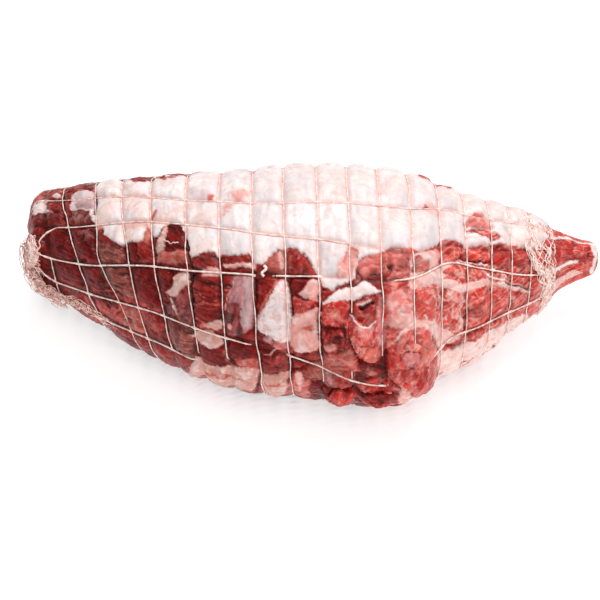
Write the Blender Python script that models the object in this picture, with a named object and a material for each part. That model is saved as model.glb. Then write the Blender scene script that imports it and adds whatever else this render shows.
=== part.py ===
"""Raw boneless beef shoulder, rolled and held in elastic netting. Metres, +Z up, X along the roast."""
import bisect
import math

import bmesh
import bpy
from mathutils import Matrix, Vector

MM = 0.001

# The body: x, centre y, centre z, half depth, half height, all in mm
STATIONS = (
    (-176, 76, 42.5, 36, 31),
    (-150, 60.5, 46, 46.5, 38),
    (-105, 35.5, 52, 65.5, 50.5),
    (-72, 18, 55.5, 76.5, 56),
    (-40, 9.5, 57.5, 83, 60.5),
    (0, 4, 59.5, 87.5, 63.5),
    (30, 0.5, 59.5, 90, 64.5),
    (62, 2.5, 56.5, 84.5, 60),
    (81, 14.5, 53, 67.5, 54),
    (100, 21, 50, 60.5, 47.5),
    (121, 32, 48, 48, 38),
    (142, 43.5, 45, 34.5, 29),
    (160, 56, 40.5, 20, 18),
    (188, 62, 38.5, 8.5, 8),
)
STUMP_X = -176
STUMP_LENGTH = 10.6
SHANK_X = 183
SHANK_LENGTH = 4.5
CAP_ROUNDNESS = 2.3

# The net: where each hoop crosses the top of the roast, and how far it leans along the roast
HOOPS = (
    -176, -163, -141, -122.5, -103, -80, -59, -38.5, -19,
    1.5, 20.5, 39.5, 59, 77, 94, 111, 125, 138.5,
)
LEAN = (
    (-186.6, 0), (-183, 5), (-163, 34), (-120, 26), (-80, 15),
    (0, 5.5), (77, -0.5), (140, -4), (165, 0),
)
LEAN_TURN = math.radians(20)

# Angles of the lengthwise strands, 0 facing the front and 90 on top, at six places along the roast
STRAND_PLACES = (-170, -90, 0, 35, 100, 148)
STRANDS = (
    (88, 87, 84, 85, 87, 85),
    (55, 69, 63, 61, 61, 56),
    (22, 42, 45, 46, 48, 24),
    (-4, 12, 1, -9, 6, -7),
    (-28, -12, -30, -35, -27, -38),
    (-60, -56, -65, -66, -64, -71),
    (-100, -100, -108, -108, -106, -110),
    (-150, -146, -150, -150, -150, -152),
    (-196, -192, -192, -192, -192, -194),
    (-238, -234, -236, -236, -236, -238),
)
STRAND_STEPS = (2, 2, 4, 4, 3, 3, 3, 3, 3, 4)

# Relief of the meat between the net's lines
PILLOW_TOP = 1.7
PILLOW_SIDE = 3.0
NET_CHANNEL = 2.8

# Yarn, mm
YARN = 1.4
YARN_GAP = 1.0
STRANDS_START = -186.5
CURVED_STUMP = -140
CURVED_SHANK = 120
COLLAR_X = 149.5
COLLAR_TUBE = 1.7
COLLAR_SPREAD = 2.3
KNOT_SIZE = (5.0, 10.5, 9.5)
KNOT_GAP = 0.5
TAIL_RADIUS = 3.4
TAIL_LIFT = 7.6

# Muscle ends that bulge through the net at the front:
# x, angle, half width, half height, how far they stand out
LOBES = (
    (29, 15, 12, 18, 7),
    (58, -4, 14, 18, 8),
    (15, -21, 12, 12, 7),
    (38, -22, 13, 10, 7),
    (9, 28, 8, 8, 4.5),
)
LOBE_DEPTH = 12
LOBE_CLEARANCE = 1.6

MEAT_COLOUR = (0.36, 0.035, 0.035, 1.0)
YARN_COLOUR = (0.85, 0.80, 0.77, 1.0)


def through(x, knots, column=1):
    """Smooth curve through the knots, each (x, value, ...), held flat beyond both ends."""
    last = len(knots) - 1
    if x <= knots[0][0]:
        return knots[0][column]
    if x >= knots[last][0]:
        return knots[last][column]
    here = bisect.bisect_right([knot[0] for knot in knots], x) - 1

    def step(i):
        return knots[i + 1][0] - knots[i][0]

    def slope(i):
        return (knots[i + 1][column] - knots[i][column]) / step(i)

    def tangent(i):
        if i == 0:
            return slope(0)
        if i == last:
            return slope(last - 1)
        return (slope(i - 1) * step(i) + slope(i) * step(i - 1)) / (step(i - 1) + step(i))

    t = (x - knots[here][0]) / step(here)
    start = (2 * t ** 3 - 3 * t ** 2 + 1) * knots[here][column]
    start += (t ** 3 - 2 * t ** 2 + t) * step(here) * tangent(here)
    end = (3 * t ** 2 - 2 * t ** 3) * knots[here + 1][column]
    end += (t ** 3 - t ** 2) * step(here) * tangent(here + 1)
    return start + end


def cap_factor(x):
    """Shrinks the section to nothing over the two rounded ends."""
    k = 0.0
    if x < STUMP_X:
        k = (STUMP_X - x) / STUMP_LENGTH
    if x > SHANK_X:
        k = (x - SHANK_X) / SHANK_LENGTH
    k = min(k, 1.0)
    return (1 - k ** CAP_ROUNDNESS) ** (1 / CAP_ROUNDNESS)


def skin_point(x, angle):
    """Point of the body under the yarn, in mm, at x and at an angle round it."""
    factor = cap_factor(x)
    lump = 1.1 * math.sin(x / 17 + 2 * angle) * math.cos(x / 29 - angle)
    depth = (through(x, STATIONS, 3) + lump) * factor
    height = (through(x, STATIONS, 4) + lump) * factor
    y = through(x, STATIONS, 1) - depth * math.cos(angle)
    z = through(x, STATIONS, 2) + height * math.sin(angle)
    return Vector((x, y, z))


def body_point(x, angle, out=0.0):
    """The body's point pushed straight out of its skin by some mm."""
    point = skin_point(x, angle)
    if cap_factor(x) < 0.1:
        return point + Vector((math.copysign(out, x), 0, 0))
    along = skin_point(x + 0.02, angle) - skin_point(x - 0.02, angle)
    around = skin_point(x, angle + 0.01) - skin_point(x, angle - 0.01)
    return point + along.cross(around).normalized() * out


def lean(s, angle):
    """How far a ring that crosses the top at s has moved along the roast at this angle."""
    return through(s, LEAN) * (0.5 - 0.5 * math.sin(angle - LEAN_TURN))


def strand_angle(index, s):
    """Angle of one lengthwise strand on the ring that crosses the top at s."""
    turn = index // len(STRANDS)
    angles = STRANDS[index % len(STRANDS)]
    middle = math.radians(angles[2])
    knots = tuple(zip(STRAND_PLACES, angles))
    return math.radians(through(s + lean(s, middle), knots) - 360 * turn)


def ring_angles(s):
    """(angle, how far the column is between two strands) for each column of a ring."""
    columns = []
    for index, steps in enumerate(STRAND_STEPS):
        start = strand_angle(index, s)
        end = strand_angle(index + 1, s)
        for k in range(steps):
            columns.append((start + (end - start) * k / steps, k / steps))
    return columns


def meat_rows():
    """(s, how far the row is between two hoops) for every ring of the meat."""
    rows = [(-185.6, 0.02), (-183.2, 0.05), (-179.5, 0.12)]
    for here, after in zip(HOOPS, HOOPS[1:]):
        gap = after - here
        rows += [(here, 0.0), (here + gap * 0.25, 0.25), (here + gap * 0.75, 0.75)]
    rows += [(HOOPS[-1], 0.0), (142, 0.5), (146, 0.0), (152, 0.0)]
    rows += [(x, 0.0) for x in (157, 163, 171, 178, 183.5, 186.4)]
    return rows


def pillow(across, along, s, angle):
    """Height of the meat above the net's channel, mm."""
    size = PILLOW_SIDE + (PILLOW_TOP - PILLOW_SIDE) * max(0.0, math.sin(angle - math.radians(10)))
    size *= 1 + 0.25 * math.sin(s * 0.9 + 5 * angle)
    return size * (1 - (2 * across - 1) ** 4) * (1 - (2 * along - 1) ** 4)


def meat_point(s, across, angle, along):
    height = pillow(across, along, s, angle)
    point = body_point(s + lean(s, angle), angle, height)
    in_channel = across == 0.0 or along == 0.0
    point.z = max(point.z, NET_CHANNEL if in_channel else 0.0)
    return point * MM


def new_object(name, bm):
    mesh = bpy.data.meshes.new(name)
    bmesh.ops.recalc_face_normals(bm, faces=bm.faces)
    if bm.calc_volume(signed=True) < 0:
        bmesh.ops.reverse_faces(bm, faces=bm.faces)
    bm.to_mesh(mesh)
    bm.free()
    obj = bpy.data.objects.new(name, mesh)
    bpy.context.scene.collection.objects.link(obj)
    return obj


def loft(bm, rings, start=None, end=None):
    """Joins closed rings of points into a skin, with a point or a flat end at each end."""
    grid = [[bm.verts.new(point) for point in ring] for ring in rings]
    for ring, after in zip(grid, grid[1:]):
        count = len(ring)
        for k in range(count):
            bm.faces.new((ring[k], ring[(k + 1) % count], after[(k + 1) % count], after[k]))
    for ring, tip in ((grid[0], start), (grid[-1], end)):
        if tip is None:
            bm.faces.new(ring)
            continue
        pole = bm.verts.new(tip)
        for k, vert in enumerate(ring):
            bm.faces.new((vert, ring[(k + 1) % len(ring)], pole))
    return grid


def build_meat():
    rings = []
    for s, across in meat_rows():
        rings.append([meat_point(s, across, angle, along) for angle, along in ring_angles(s)])
    bm = bmesh.new()
    stump_pole = body_point(STUMP_X - STUMP_LENGTH, 0.0) * MM
    shank_pole = body_point(SHANK_X + SHANK_LENGTH, 0.0) * MM
    loft(bm, rings, stump_pole, shank_pole)
    return new_object("meat", bm)


def skin_frame(x, angle):
    """Place on the body with its axes: along the roast, round it, and outward."""
    here = body_point(x, angle)
    along = (body_point(x + 2, angle) - body_point(x - 2, angle)).normalized()
    around = (body_point(x, angle + 0.03) - body_point(x, angle - 0.03)).normalized()
    outward = along.cross(around).normalized()
    around = outward.cross(along).normalized()
    return here, along, around, outward


def build_lobes():
    """The bulging muscle ends, kept as hidden helpers that the meat's Boolean adds."""
    group = bpy.data.collections.new("lobe_helpers")
    bpy.context.scene.collection.children.link(group)
    for number, (x, degrees, width, height, stand) in enumerate(LOBES):
        here, along, around, outward = skin_frame(x, math.radians(degrees))
        centre = here + outward * (stand - LOBE_DEPTH)
        place = Matrix((along * width, around * height, outward * LOBE_DEPTH)).transposed().to_4x4()
        place.translation = centre
        bm = bmesh.new()
        bmesh.ops.create_uvsphere(bm, u_segments=14, v_segments=10, radius=1.0)
        turn = Matrix.Rotation(0.31 * number + 0.2, 3, "Z")
        bmesh.ops.rotate(bm, verts=bm.verts, cent=(0, 0, 0), matrix=turn)
        bmesh.ops.transform(bm, matrix=Matrix.Scale(MM, 4) @ place, verts=bm.verts)
        helper = new_object("lobe_%d" % (number + 1), bm)
        bpy.context.scene.collection.objects.unlink(helper)
        group.objects.link(helper)
        hide(helper)
    return group


def near_lobe(point):
    """True where the yarn would run into one of the bulging muscle ends."""
    for x, degrees, width, height, stand in LOBES:
        here, along, around, outward = skin_frame(x, math.radians(degrees))
        offset = point / MM - (here + outward * (stand - LOBE_DEPTH))
        a = offset.dot(along) / (width + LOBE_CLEARANCE)
        b = offset.dot(around) / (height + LOBE_CLEARANCE)
        c = offset.dot(outward) / (LOBE_DEPTH + LOBE_CLEARANCE)
        if a * a + b * b + c * c < 1:
            return True
    return False


def hide(obj):
    obj.hide_render = True
    obj.display_type = "WIRE"


def net_rows():
    """(s, whether a hoop runs there) for every ring of the net, from the knot to the collar."""
    rows = [(STRANDS_START, False), (-185.6, False), (-183.2, False), (-179.5, False)]
    for here, after in zip(HOOPS, HOOPS[1:]):
        rows.append((here, True))
        if here < CURVED_STUMP or here > CURVED_SHANK:
            rows += [(here + (after - here) * 0.25, False), (here + (after - here) * 0.75, False)]
    rows += [(HOOPS[-1], True), (144, False), (COLLAR_X, False)]
    return rows


def net_point(s, angle, level):
    """Point of the yarn: level 0 is its inner side, level 1 its outer side."""
    point = body_point(s + lean(s, angle), angle, YARN_GAP + YARN * level)
    point.z = max(point.z, NET_CHANNEL - YARN_GAP - YARN * level)
    return point * MM


def half_yarn_angle(s, angle):
    x = s + lean(s, angle)
    step = 0.01
    radius = (body_point(x, angle + step) - body_point(x, angle - step)).length / (2 * step)
    return 0.5 * YARN / max(radius, 4.0)


class Net:
    """Square yarn along the hoops and the strands, sharing its corners where they cross."""

    def __init__(self):
        self.bm = bmesh.new()
        self.rows = net_rows()
        self.rings = [ring_angles(s) for s, hoop in self.rows]
        self.corners = {}

    def corner(self, row, column, side, turn, level):
        """Corner of the yarn; side is -1 or 1 along the roast, turn is -1, 0 or 1 round it."""
        column %= len(self.rings[0])
        s, hoop = self.rows[row]
        angle, along = self.rings[row][column]
        side = side if hoop else 0
        turn = turn if along == 0.0 else 0
        key = (row, column, side, turn, level)
        if key not in self.corners:
            s += side * 0.5 * YARN
            angle -= turn * half_yarn_angle(s, angle)
            self.corners[key] = self.bm.verts.new(net_point(s, angle, level))
        return self.corners[key]

    def clear(self, row, column, next_row, next_column):
        """True where yarn between two places of the net misses the bulging muscle ends."""
        middle = 0.5
        start = net_point(self.rows[row][0], self.rings[row][column % len(self.rings[row])][0], middle)
        ring = self.rings[next_row]
        end = net_point(self.rows[next_row][0], ring[next_column % len(ring)][0], middle)
        return not any(near_lobe(start.lerp(end, t)) for t in (0.0, 0.25, 0.5, 0.75, 1.0))

    def wall(self, first, second):
        """Face across the yarn between two edges, each given by its corner without the level."""
        self.bm.faces.new((
            self.corner(*first, 0), self.corner(*second, 0),
            self.corner(*second, 1), self.corner(*first, 1),
        ))

    def sleeve(self, start, end):
        """Four faces of yarn from one pair of edges to another."""
        for level in (0, 1):
            self.bm.faces.new((
                self.corner(*start[0], level), self.corner(*start[1], level),
                self.corner(*end[1], level), self.corner(*end[0], level),
            ))
        self.wall(start[0], end[0])
        self.wall(start[1], end[1])

    def build(self):
        starts = [sum(STRAND_STEPS[:k]) for k in range(len(STRAND_STEPS))]
        spans = set()
        gaps = set()
        for row, (s, hoop) in enumerate(self.rows):
            for start, steps in zip(starts, STRAND_STEPS):
                if hoop:
                    spans |= self.open_spans(row, start, steps)
                if row + 1 < len(self.rows) and self.clear(row, start, row + 1, start):
                    gaps.add((row, start))
        for row, column in spans:
            leaving = [(row, column, side, 1) for side in (-1, 1)]
            arriving = [(row, column + 1, side, -1) for side in (-1, 1)]
            self.sleeve(leaving, arriving)
        for row, column in gaps:
            leaving = [(row, column, 1, turn) for turn in (-1, 1)]
            arriving = [(row + 1, column, -1, turn) for turn in (-1, 1)]
            self.sleeve(leaving, arriving)
        for row, (s, hoop) in enumerate(self.rows):
            for column in range(len(self.rings[0])):
                around = ((row, (column - 1) % len(self.rings[0])) in spans, (row, column) in spans)
                along = ((row - 1, column) in gaps, (row, column) in gaps)
                if hoop and column in starts:
                    self.cross(row, column, around, along)
                elif around[0] != around[1]:
                    self.wall((row, column, -1, 0), (row, column, 1, 0))
                elif along[0] != along[1]:
                    self.wall((row, column, 0, -1), (row, column, 0, 1))
        return self.bm

    def open_spans(self, row, start, steps):
        """The pieces of a hoop between two strands that reach a strand without meeting a lobe."""
        clear = [self.clear(row, start + k, row, start + k + 1) for k in range(steps)]
        kept = set()
        for order in (range(steps), range(steps - 1, -1, -1)):
            for k in order:
                if not clear[k]:
                    break
                kept.add((row, start + k))
        return kept

    def cross(self, row, column, around, along):
        """The faces where a strand meets a hoop, with end faces where a yarn stops."""
        if not any(around + along):
            return
        for level in (0, 1):
            self.bm.faces.new((
                self.corner(row, column, -1, -1, level), self.corner(row, column, 1, -1, level),
                self.corner(row, column, 1, 1, level), self.corner(row, column, -1, 1, level),
            ))
        for turn, present in zip((-1, 1), around):
            if not present:
                self.wall((row, column, -1, turn), (row, column, 1, turn))
        for side, present in zip((-1, 1), along):
            if not present:
                self.wall((row, column, side, -1), (row, column, side, 1))


def build_netting():
    return new_object("netting", Net().build())


def tube(name, path, radii, sides):
    """Closed tube along a path of points in mm; radii holds (width, thickness) at each point."""
    rings = []
    for k, point in enumerate(path):
        before = path[max(k - 1, 0)]
        after = path[min(k + 1, len(path) - 1)]
        forward = (after - before).normalized()
        side = forward.cross(Vector((0, 0, 1))).normalized()
        up = side.cross(forward)
        ring = []
        for j in range(sides):
            turn = 2 * math.pi * j / sides
            wide, thick = radii[k]
            ring.append((point + up * wide * math.cos(turn) + side * thick * math.sin(turn)) * MM)
        rings.append(ring)
    bm = bmesh.new()
    loft(bm, rings)
    return new_object(name, bm)


def build_collar():
    """The bunched ring where the net ends round the shank."""
    bm = bmesh.new()
    rings = []
    for angle, along in ring_angles(COLLAR_X):
        wobble = 1 + 0.1 * math.sin(5 * angle)
        tube_radius = COLLAR_TUBE * wobble
        x = COLLAR_X + lean(COLLAR_X, angle)
        middle = body_point(x, angle, YARN_GAP * 0.75 + COLLAR_TUBE * 1.1)
        here, slope, around, outward = skin_frame(x, angle)
        ring = []
        for j in range(8):
            turn = 2 * math.pi * j / 8
            spread = slope * COLLAR_SPREAD * tube_radius * math.sin(turn)
            ring.append((middle + outward * tube_radius * math.cos(turn) + spread) * MM)
        rings.append(ring)
    grid = [[bm.verts.new(point) for point in ring] for ring in rings]
    for k, ring in enumerate(grid):
        after = grid[(k + 1) % len(grid)]
        for j in range(8):
            bm.faces.new((ring[j], ring[(j + 1) % 8], after[(j + 1) % 8], after[j]))
    return new_object("collar_helper", bm)


def build_knot():
    """A flat bunch of yarn over the ring where the strands meet."""
    centre = body_point(STUMP_X - STUMP_LENGTH, 0.0, KNOT_SIZE[0] + KNOT_GAP)
    bm = bmesh.new()
    bmesh.ops.create_uvsphere(bm, u_segments=12, v_segments=8, radius=1.0)
    for vert in bm.verts:
        flat = math.copysign(abs(vert.co.x) ** 0.45, vert.co.x)
        bulge = 1 + 0.12 * math.sin(9 * vert.co.y + 4 * vert.co.z)
        depth = vert.co.y * KNOT_SIZE[1] * bulge
        height = vert.co.z * KNOT_SIZE[2] * bulge
        vert.co = (centre + Vector((flat * KNOT_SIZE[0], depth, height))) * MM
    return new_object("knot_helper", bm)


def build_tail():
    """The net's loose end, lying down the stump from the knot."""
    pole = body_point(STUMP_X - STUMP_LENGTH, 0.0, KNOT_SIZE[0])
    path = [pole, pole + Vector((-1.5, -9, -9))]
    steps = 11
    for k in range(steps):
        t = k / (steps - 1)
        x = -184 + 64 * t
        angle = math.radians(-32 + 8 * t)
        path.append(body_point(x, angle, TAIL_LIFT))
    radii = []
    for k in range(len(path)):
        swell = 1 + 0.3 * math.sin(2.3 * k)
        thin = 1 - 0.6 * (k / (len(path) - 1)) ** 3
        radii.append((TAIL_RADIUS * 1.4 * swell * thin, TAIL_RADIUS * 0.8 * thin))
    return tube("tail_helper", path, radii, 8)


def finish(obj, name, colour, roughness):
    material = bpy.data.materials.new(name)
    material.use_nodes = True
    shader = material.node_tree.nodes["Principled BSDF"]
    shader.inputs["Base Color"].default_value = colour
    shader.inputs["Roughness"].default_value = roughness
    obj.data.materials.append(material)
    obj.data.polygons.foreach_set("use_smooth", [True] * len(obj.data.polygons))


def main():
    for obj in list(bpy.data.objects):
        bpy.data.objects.remove(obj, do_unlink=True)
    meat = build_meat()
    union = meat.modifiers.new("lobes", "BOOLEAN")
    union.operation = "UNION"
    union.solver = "EXACT"
    union.operand_type = "COLLECTION"
    union.collection = build_lobes()
    netting = build_netting()
    for helper in (build_collar(), build_knot(), build_tail()):
        hide(helper)
        join = netting.modifiers.new(helper.name, "BOOLEAN")
        join.operation = "UNION"
        join.solver = "EXACT"
        join.object = helper
    finish(meat, "raw_beef", MEAT_COLOUR, 0.4)
    finish(netting, "elastic_yarn", YARN_COLOUR, 0.8)


main()
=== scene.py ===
"""Raw rolled beef shoulder in elastic netting, on white.

The meat is one fine skin over the roast's body, painted point by point: first the muscle and the fat cap,
then the areas and marks that the photograph shows, then the grain, and last what the net does to it.
"""
import math

import bpy
import numpy as np
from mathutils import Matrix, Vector


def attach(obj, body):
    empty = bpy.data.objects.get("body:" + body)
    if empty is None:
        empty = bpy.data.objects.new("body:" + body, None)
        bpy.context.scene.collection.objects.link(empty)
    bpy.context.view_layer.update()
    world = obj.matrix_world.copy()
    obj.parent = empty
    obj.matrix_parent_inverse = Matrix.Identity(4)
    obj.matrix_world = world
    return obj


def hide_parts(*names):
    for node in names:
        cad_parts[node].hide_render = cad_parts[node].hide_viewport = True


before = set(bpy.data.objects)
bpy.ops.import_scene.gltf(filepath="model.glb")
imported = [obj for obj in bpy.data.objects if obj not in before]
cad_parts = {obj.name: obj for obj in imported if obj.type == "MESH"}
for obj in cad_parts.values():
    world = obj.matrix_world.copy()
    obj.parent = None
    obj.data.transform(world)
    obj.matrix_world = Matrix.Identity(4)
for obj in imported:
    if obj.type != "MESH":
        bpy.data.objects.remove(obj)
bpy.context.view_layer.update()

MM = 0.001

# Sections of the roast's body: x, centre y, centre z, half depth and half height, in mm
STATIONS = np.array((
    (-176, 76, 42.5, 36, 31), (-150, 60.5, 46, 46.5, 38), (-105, 35.5, 52, 65.5, 50.5),
    (-72, 18, 55.5, 76.5, 56), (-40, 9.5, 57.5, 83, 60.5), (0, 4, 59.5, 87.5, 63.5),
    (30, 0.5, 59.5, 90, 64.5), (62, 2.5, 56.5, 84.5, 60), (81, 14.5, 53, 67.5, 54),
    (100, 21, 50, 60.5, 47.5), (121, 32, 48, 48, 38), (142, 43.5, 45, 34.5, 29),
    (160, 56, 40.5, 20, 18), (188, 62, 38.5, 8.5, 8),
), float)
# Where the body starts to close at its two ends, over what length in mm, and how bluntly
STUMP_X = -176.0
STUMP_LENGTH = 10.6
STUMP_TIP = STUMP_X - STUMP_LENGTH
SHANK_X = 183.0
SHANK_LENGTH = 4.5
END_ROUNDNESS = 2.3
# The skin over it: mm between its rings, the first and last degree and number of points of its two sides,
# and how many mm it stays off the floor where the net passes underneath
RING_STEP = 0.7
SEEN_SIDE = (-72, 130, 370)
UNSEEN_SIDE = (130, 288, 120)
BELLY_CHANNEL = 2.6

# The net's hoops: the x in mm of each over the top, and how far a hoop there moves along by the bottom
HOOPS = np.array((-176, -163, -141, -122.5, -103, -80, -59, -38.5, -19, 1.5, 20.5, 39.5, 59, 77, 94, 111,
                  125, 138.5))
LEAN = np.array(((-186.6, 0), (-183, 5), (-163, 34), (-120, 26), (-80, 15), (0, 5.5), (77, -0.5),
                 (140, -4), (165, 0)), float)
LEAN_TURN = math.radians(20)
# One hoop hangs straighter at the front: its place and reach in mm, its angle and reach, and its shift
STRAIGHT_HOOP = (-141, 8, math.radians(36), math.radians(22), -6)
# Hoops that are hidden over part of their way: where each one shows, in degrees round the roast
HOOP_SPANS = {0: ((150, 382),), 9: ((-11, 318),), 10: ((-5, 6), (30, 318)), 11: ((10, 318),)}
# Where the yarn sinks out of sight: strands by number and x, hoops by number and degrees; and how deep, in mm
SUNK_STRANDS = ((1, 24, 140), (2, 6, 47), (2, -36, -25), (3, -37, -17), (4, -72, 34))
SUNK_HOOPS = ((4, -75, -14), (5, -75, -7), (6, -75, -5))
SUNK_DEPTH = 3.2
# The lengthwise strands: the x of six places, each strand's degrees round the roast at each of them, the
# strands' radii in mm, and the x where they end
STRAND_PLACES = np.array((-170, -90, 0, 35, 100, 148), float)
STRANDS = np.array((
    (88, 87, 84, 85, 87, 85), (55, 69, 63, 61, 61, 56), (22, 42, 45, 46, 48, 24), (-4, 12, 1, -9, 6, -7),
    (-28, -12, -30, -35, -27, -38), (-60, -56, -65, -66, -64, -71), (-100, -100, -108, -108, -106, -110),
    (-150, -146, -150, -150, -150, -152), (-196, -192, -192, -192, -192, -194),
    (-238, -234, -236, -236, -236, -238),
), float)
STRAND_RADII = (0.34, 0.42, 0.5, 0.5, 0.55, 0.5, 0.42, 0.42, 0.4, 0.4)
COLLAR_X = 149.5
# Strands that are drawn together at the front of the stump: from where, over how many mm, to what angle
FRONT_STRANDS = (1, 2, 3)
GATHER_START = -163
GATHER_REACH = 17
GATHER_ANGLE = math.radians(24)
# The net's loose end, from the knot down the stump: share of its length, x in mm and degrees
TAIL = np.array((
    (0, -186, 40), (0.05, -184, 20), (0.12, -181, -6), (0.25, -172, -22), (0.38, -163, -21),
    (0.5, -153, -15), (0.7, -140, -17), (1, -116, -21),
), float)
# Yarn in mm: how far its middle lies off the body, its radius, and how low it may come over the floor
HOOP_LIFT = 1.15
HOOP_RADIUS = 0.36
STRAND_LIFT = 1.35
YARN_LOWEST = 1.1
YARN_SIDES = 6
# Yarn colours, clean and stained, of the stretched net and of its curled end
NET_YARN = ((252, 236, 228), (226, 164, 152))
CURLED_YARN = ((252, 216, 204), (164, 74, 62))
# How many loops, threads or cords the bunched parts of the net have
COLLAR_LOOPS = 36
KNOT_LOOPS = 14
GATHER_LOOPS = 30
CURLS = 60
CORDS = 6

# Where the fat cap ends: its left and right end in mm, its front edge read from the photograph in pixels,
# and its back edge as x in mm and degrees
CAP_LEFT = -141.5
CAP_RIGHT = 152
CAP_EDGE = np.array((
    (93, 221), (95, 225), (102, 229), (104, 235), (114, 242), (121, 247), (124, 244), (131, 242),
    (141, 242), (146, 237), (148, 229), (152, 236), (157, 236), (163, 226), (172, 221), (180, 224),
    (186, 235), (190, 257), (197, 255), (202, 257), (207, 252), (214, 253), (217, 258), (222, 253),
    (234, 255), (249, 255), (251, 261), (257, 264), (262, 264), (268, 261), (272, 255), (279, 249),
    (288, 248), (299, 253), (309, 260), (313, 269), (318, 276), (322, 285), (332, 292), (338, 286),
    (346, 283), (355, 278), (357, 270), (359, 262), (364, 257), (379, 254), (386, 249), (400, 247),
    (411, 247), (422, 250), (436, 246), (442, 240), (456, 243), (464, 249), (478, 246), (489, 246),
    (499, 243), (512, 244), (520, 247), (532, 249), (537, 250), (548, 236), (560, 226),
), float)
CAP_BACK = np.array((
    (-143, 112), (-128, 116), (-118, 112), (-96, 112), (-84, 124), (-60, 150), (-20, 172), (30, 168),
    (60, 150), (70, 122), (84, 112), (96, 128), (120, 150), (145, 160),
), float)

# Pillows of meat in mm: their least height, how much more they have on top, and how far from the yarn
# they start to rise and are full
PILLOW_HEIGHT = 1.7
PILLOW_TOP = 0.6
PILLOW_START = 1.6
PILLOW_FULL = 4.5

# Kinds of surface: colour under white light, how fatty, how marbled, how mottled, how far it stands out
# in mm, and which way its fibres run, in degrees from the roast's length
KINDS = {
    # painted shade: the near-black colour of hollows, which also sink
    "black": ((60, 14, 14), 0.0, 0.0, 0.0, -2.8, 0),
    # painted shade: the dark colour of the creases between muscles, which also sink
    "groove": ((84, 16, 15), 0.0, 0.0, 0.0, -2.2, 0),
    "maroon": ((108, 12, 10), 0.0, 0.15, 0.1, 0.3, -20),
    "darkred": ((132, 26, 22), 0.0, 0.25, 0.2, 0.7, -15),
    "crimson": ((146, 28, 24), 0.0, 0.3, 0.3, 1.1, 60),
    "umber": ((134, 60, 51), 0.0, 0.2, 0.3, 1.0, 8),
    "smoke": ((108, 44, 40), 0.1, 0.3, 0.5, 0.7, 80),
    "fibred": ((128, 26, 22), 0.0, 0.1, 0.1, 1.0, 0),
    "red": ((158, 34, 29), 0.0, 0.45, 0.3, 1.0, 60),
    "ruby": ((178, 38, 32), 0.0, 0.5, 0.3, 1.0, 20),
    "scarlet": ((186, 40, 34), 0.0, 0.45, 0.3, 1.3, 75),
    "flesh": ((196, 56, 50), 0.1, 0.6, 0.4, 1.2, 70),
    # painted highlight: a wet sheen, lighter and pinker than the meat under it
    "sheen": ((204, 110, 108), 0.2, 0.5, 0.6, 0.6, 70),
    "clay": ((198, 94, 86), 0.1, 0.4, 0.4, 1.2, 20),
    "brown": ((168, 72, 62), 0.1, 0.3, 0.4, 1.2, 12),
    "beef": ((206, 56, 46), 0.0, 0.8, 0.4, 0.8, 35),
    "marbled": ((204, 70, 61), 0.0, 1.2, 0.8, 0.8, 42),
    "rosy": ((220, 114, 108), 0.3, 1.0, 0.7, 0.8, 55),
    "pinkred": ((190, 76, 64), 0.3, 0.5, 0.5, 0.9, 30),
    "pink": ((234, 160, 150), 0.7, 0.3, 0.9, 0.8, 40),
    "pinkfat": ((244, 206, 198), 1.0, 0.0, 0.5, 0.1, 60),
    "blush": ((246, 186, 176), 0.9, 0.2, 0.8, 0.7, 40),
    "blossom": ((246, 218, 213), 1.0, 0.0, 0.4, 0.1, 60),
    "purple": ((124, 46, 47), 0.1, 0.2, 0.3, 0.8, 70),
    "lilac": ((186, 122, 126), 0.3, 0.1, 0.3, 1.6, 70),
    "mauve": ((190, 154, 156), 0.6, 0.0, 0.3, 1.2, 80),
    "silver": ((238, 221, 220), 0.8, 0.0, 0.9, 1.2, 5),
    "greyfat": ((228, 217, 217), 1.0, 0.0, 0.1, 0.0, 90),
    "lilacfat": ((222, 200, 200), 1.0, 0.0, 0.2, 0.0, 90),
    "fat": ((246, 231, 228), 1.0, 0.0, 0.3, 1.0, 90),
    "white": ((247, 236, 235), 1.0, 0.0, 0.1, 0.2, 90),
    "fatpink": ((239, 186, 178), 0.9, 0.0, 1.0, 0.9, 50),
    "cream": ((212, 162, 150), 0.9, 0.1, 0.9, 1.4, 30),
    "rosefat": ((252, 216, 208), 1.0, 0.1, 0.8, 0.8, 30),
    "lowfat": ((208, 150, 137), 0.9, 0.1, 1.0, 1.6, 20),
    "orange": ((214, 96, 82), 0.2, 0.4, 0.3, 0.9, 60),
}

# Colours of the grain that is laid over every kind, among them the painted glints and the painted pink shade
# beside the yarn
FIBRE_PINK = (234, 150, 139)
MARBLING = (244, 200, 190)
FILM = (196, 106, 97)
MOTTLE_RED = (218, 132, 118)
MOTTLE_PALE = (250, 232, 226)
FOLD = (230, 190, 184)
SHEER = (222, 208, 208)
PAINTED_GLINT = (244, 200, 194)
CAP_GREY = (226, 219, 222)
CAP_PINK = (246, 214, 206)
YARN_SHADE_PINK = (232, 176, 166)

# How much an outline bends at its corners: 0 gives straight lines, 0.5 round ones
ROUNDING = 0.35
# How a painted area ends: the width of its rim in pixels, how dark the painted shade along it is, and how
# deep the rim sinks in mm
RIM_WIDTH = 1.1
RIM_SHADE = 0.22
RIM_DEPTH = 0.7
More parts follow.
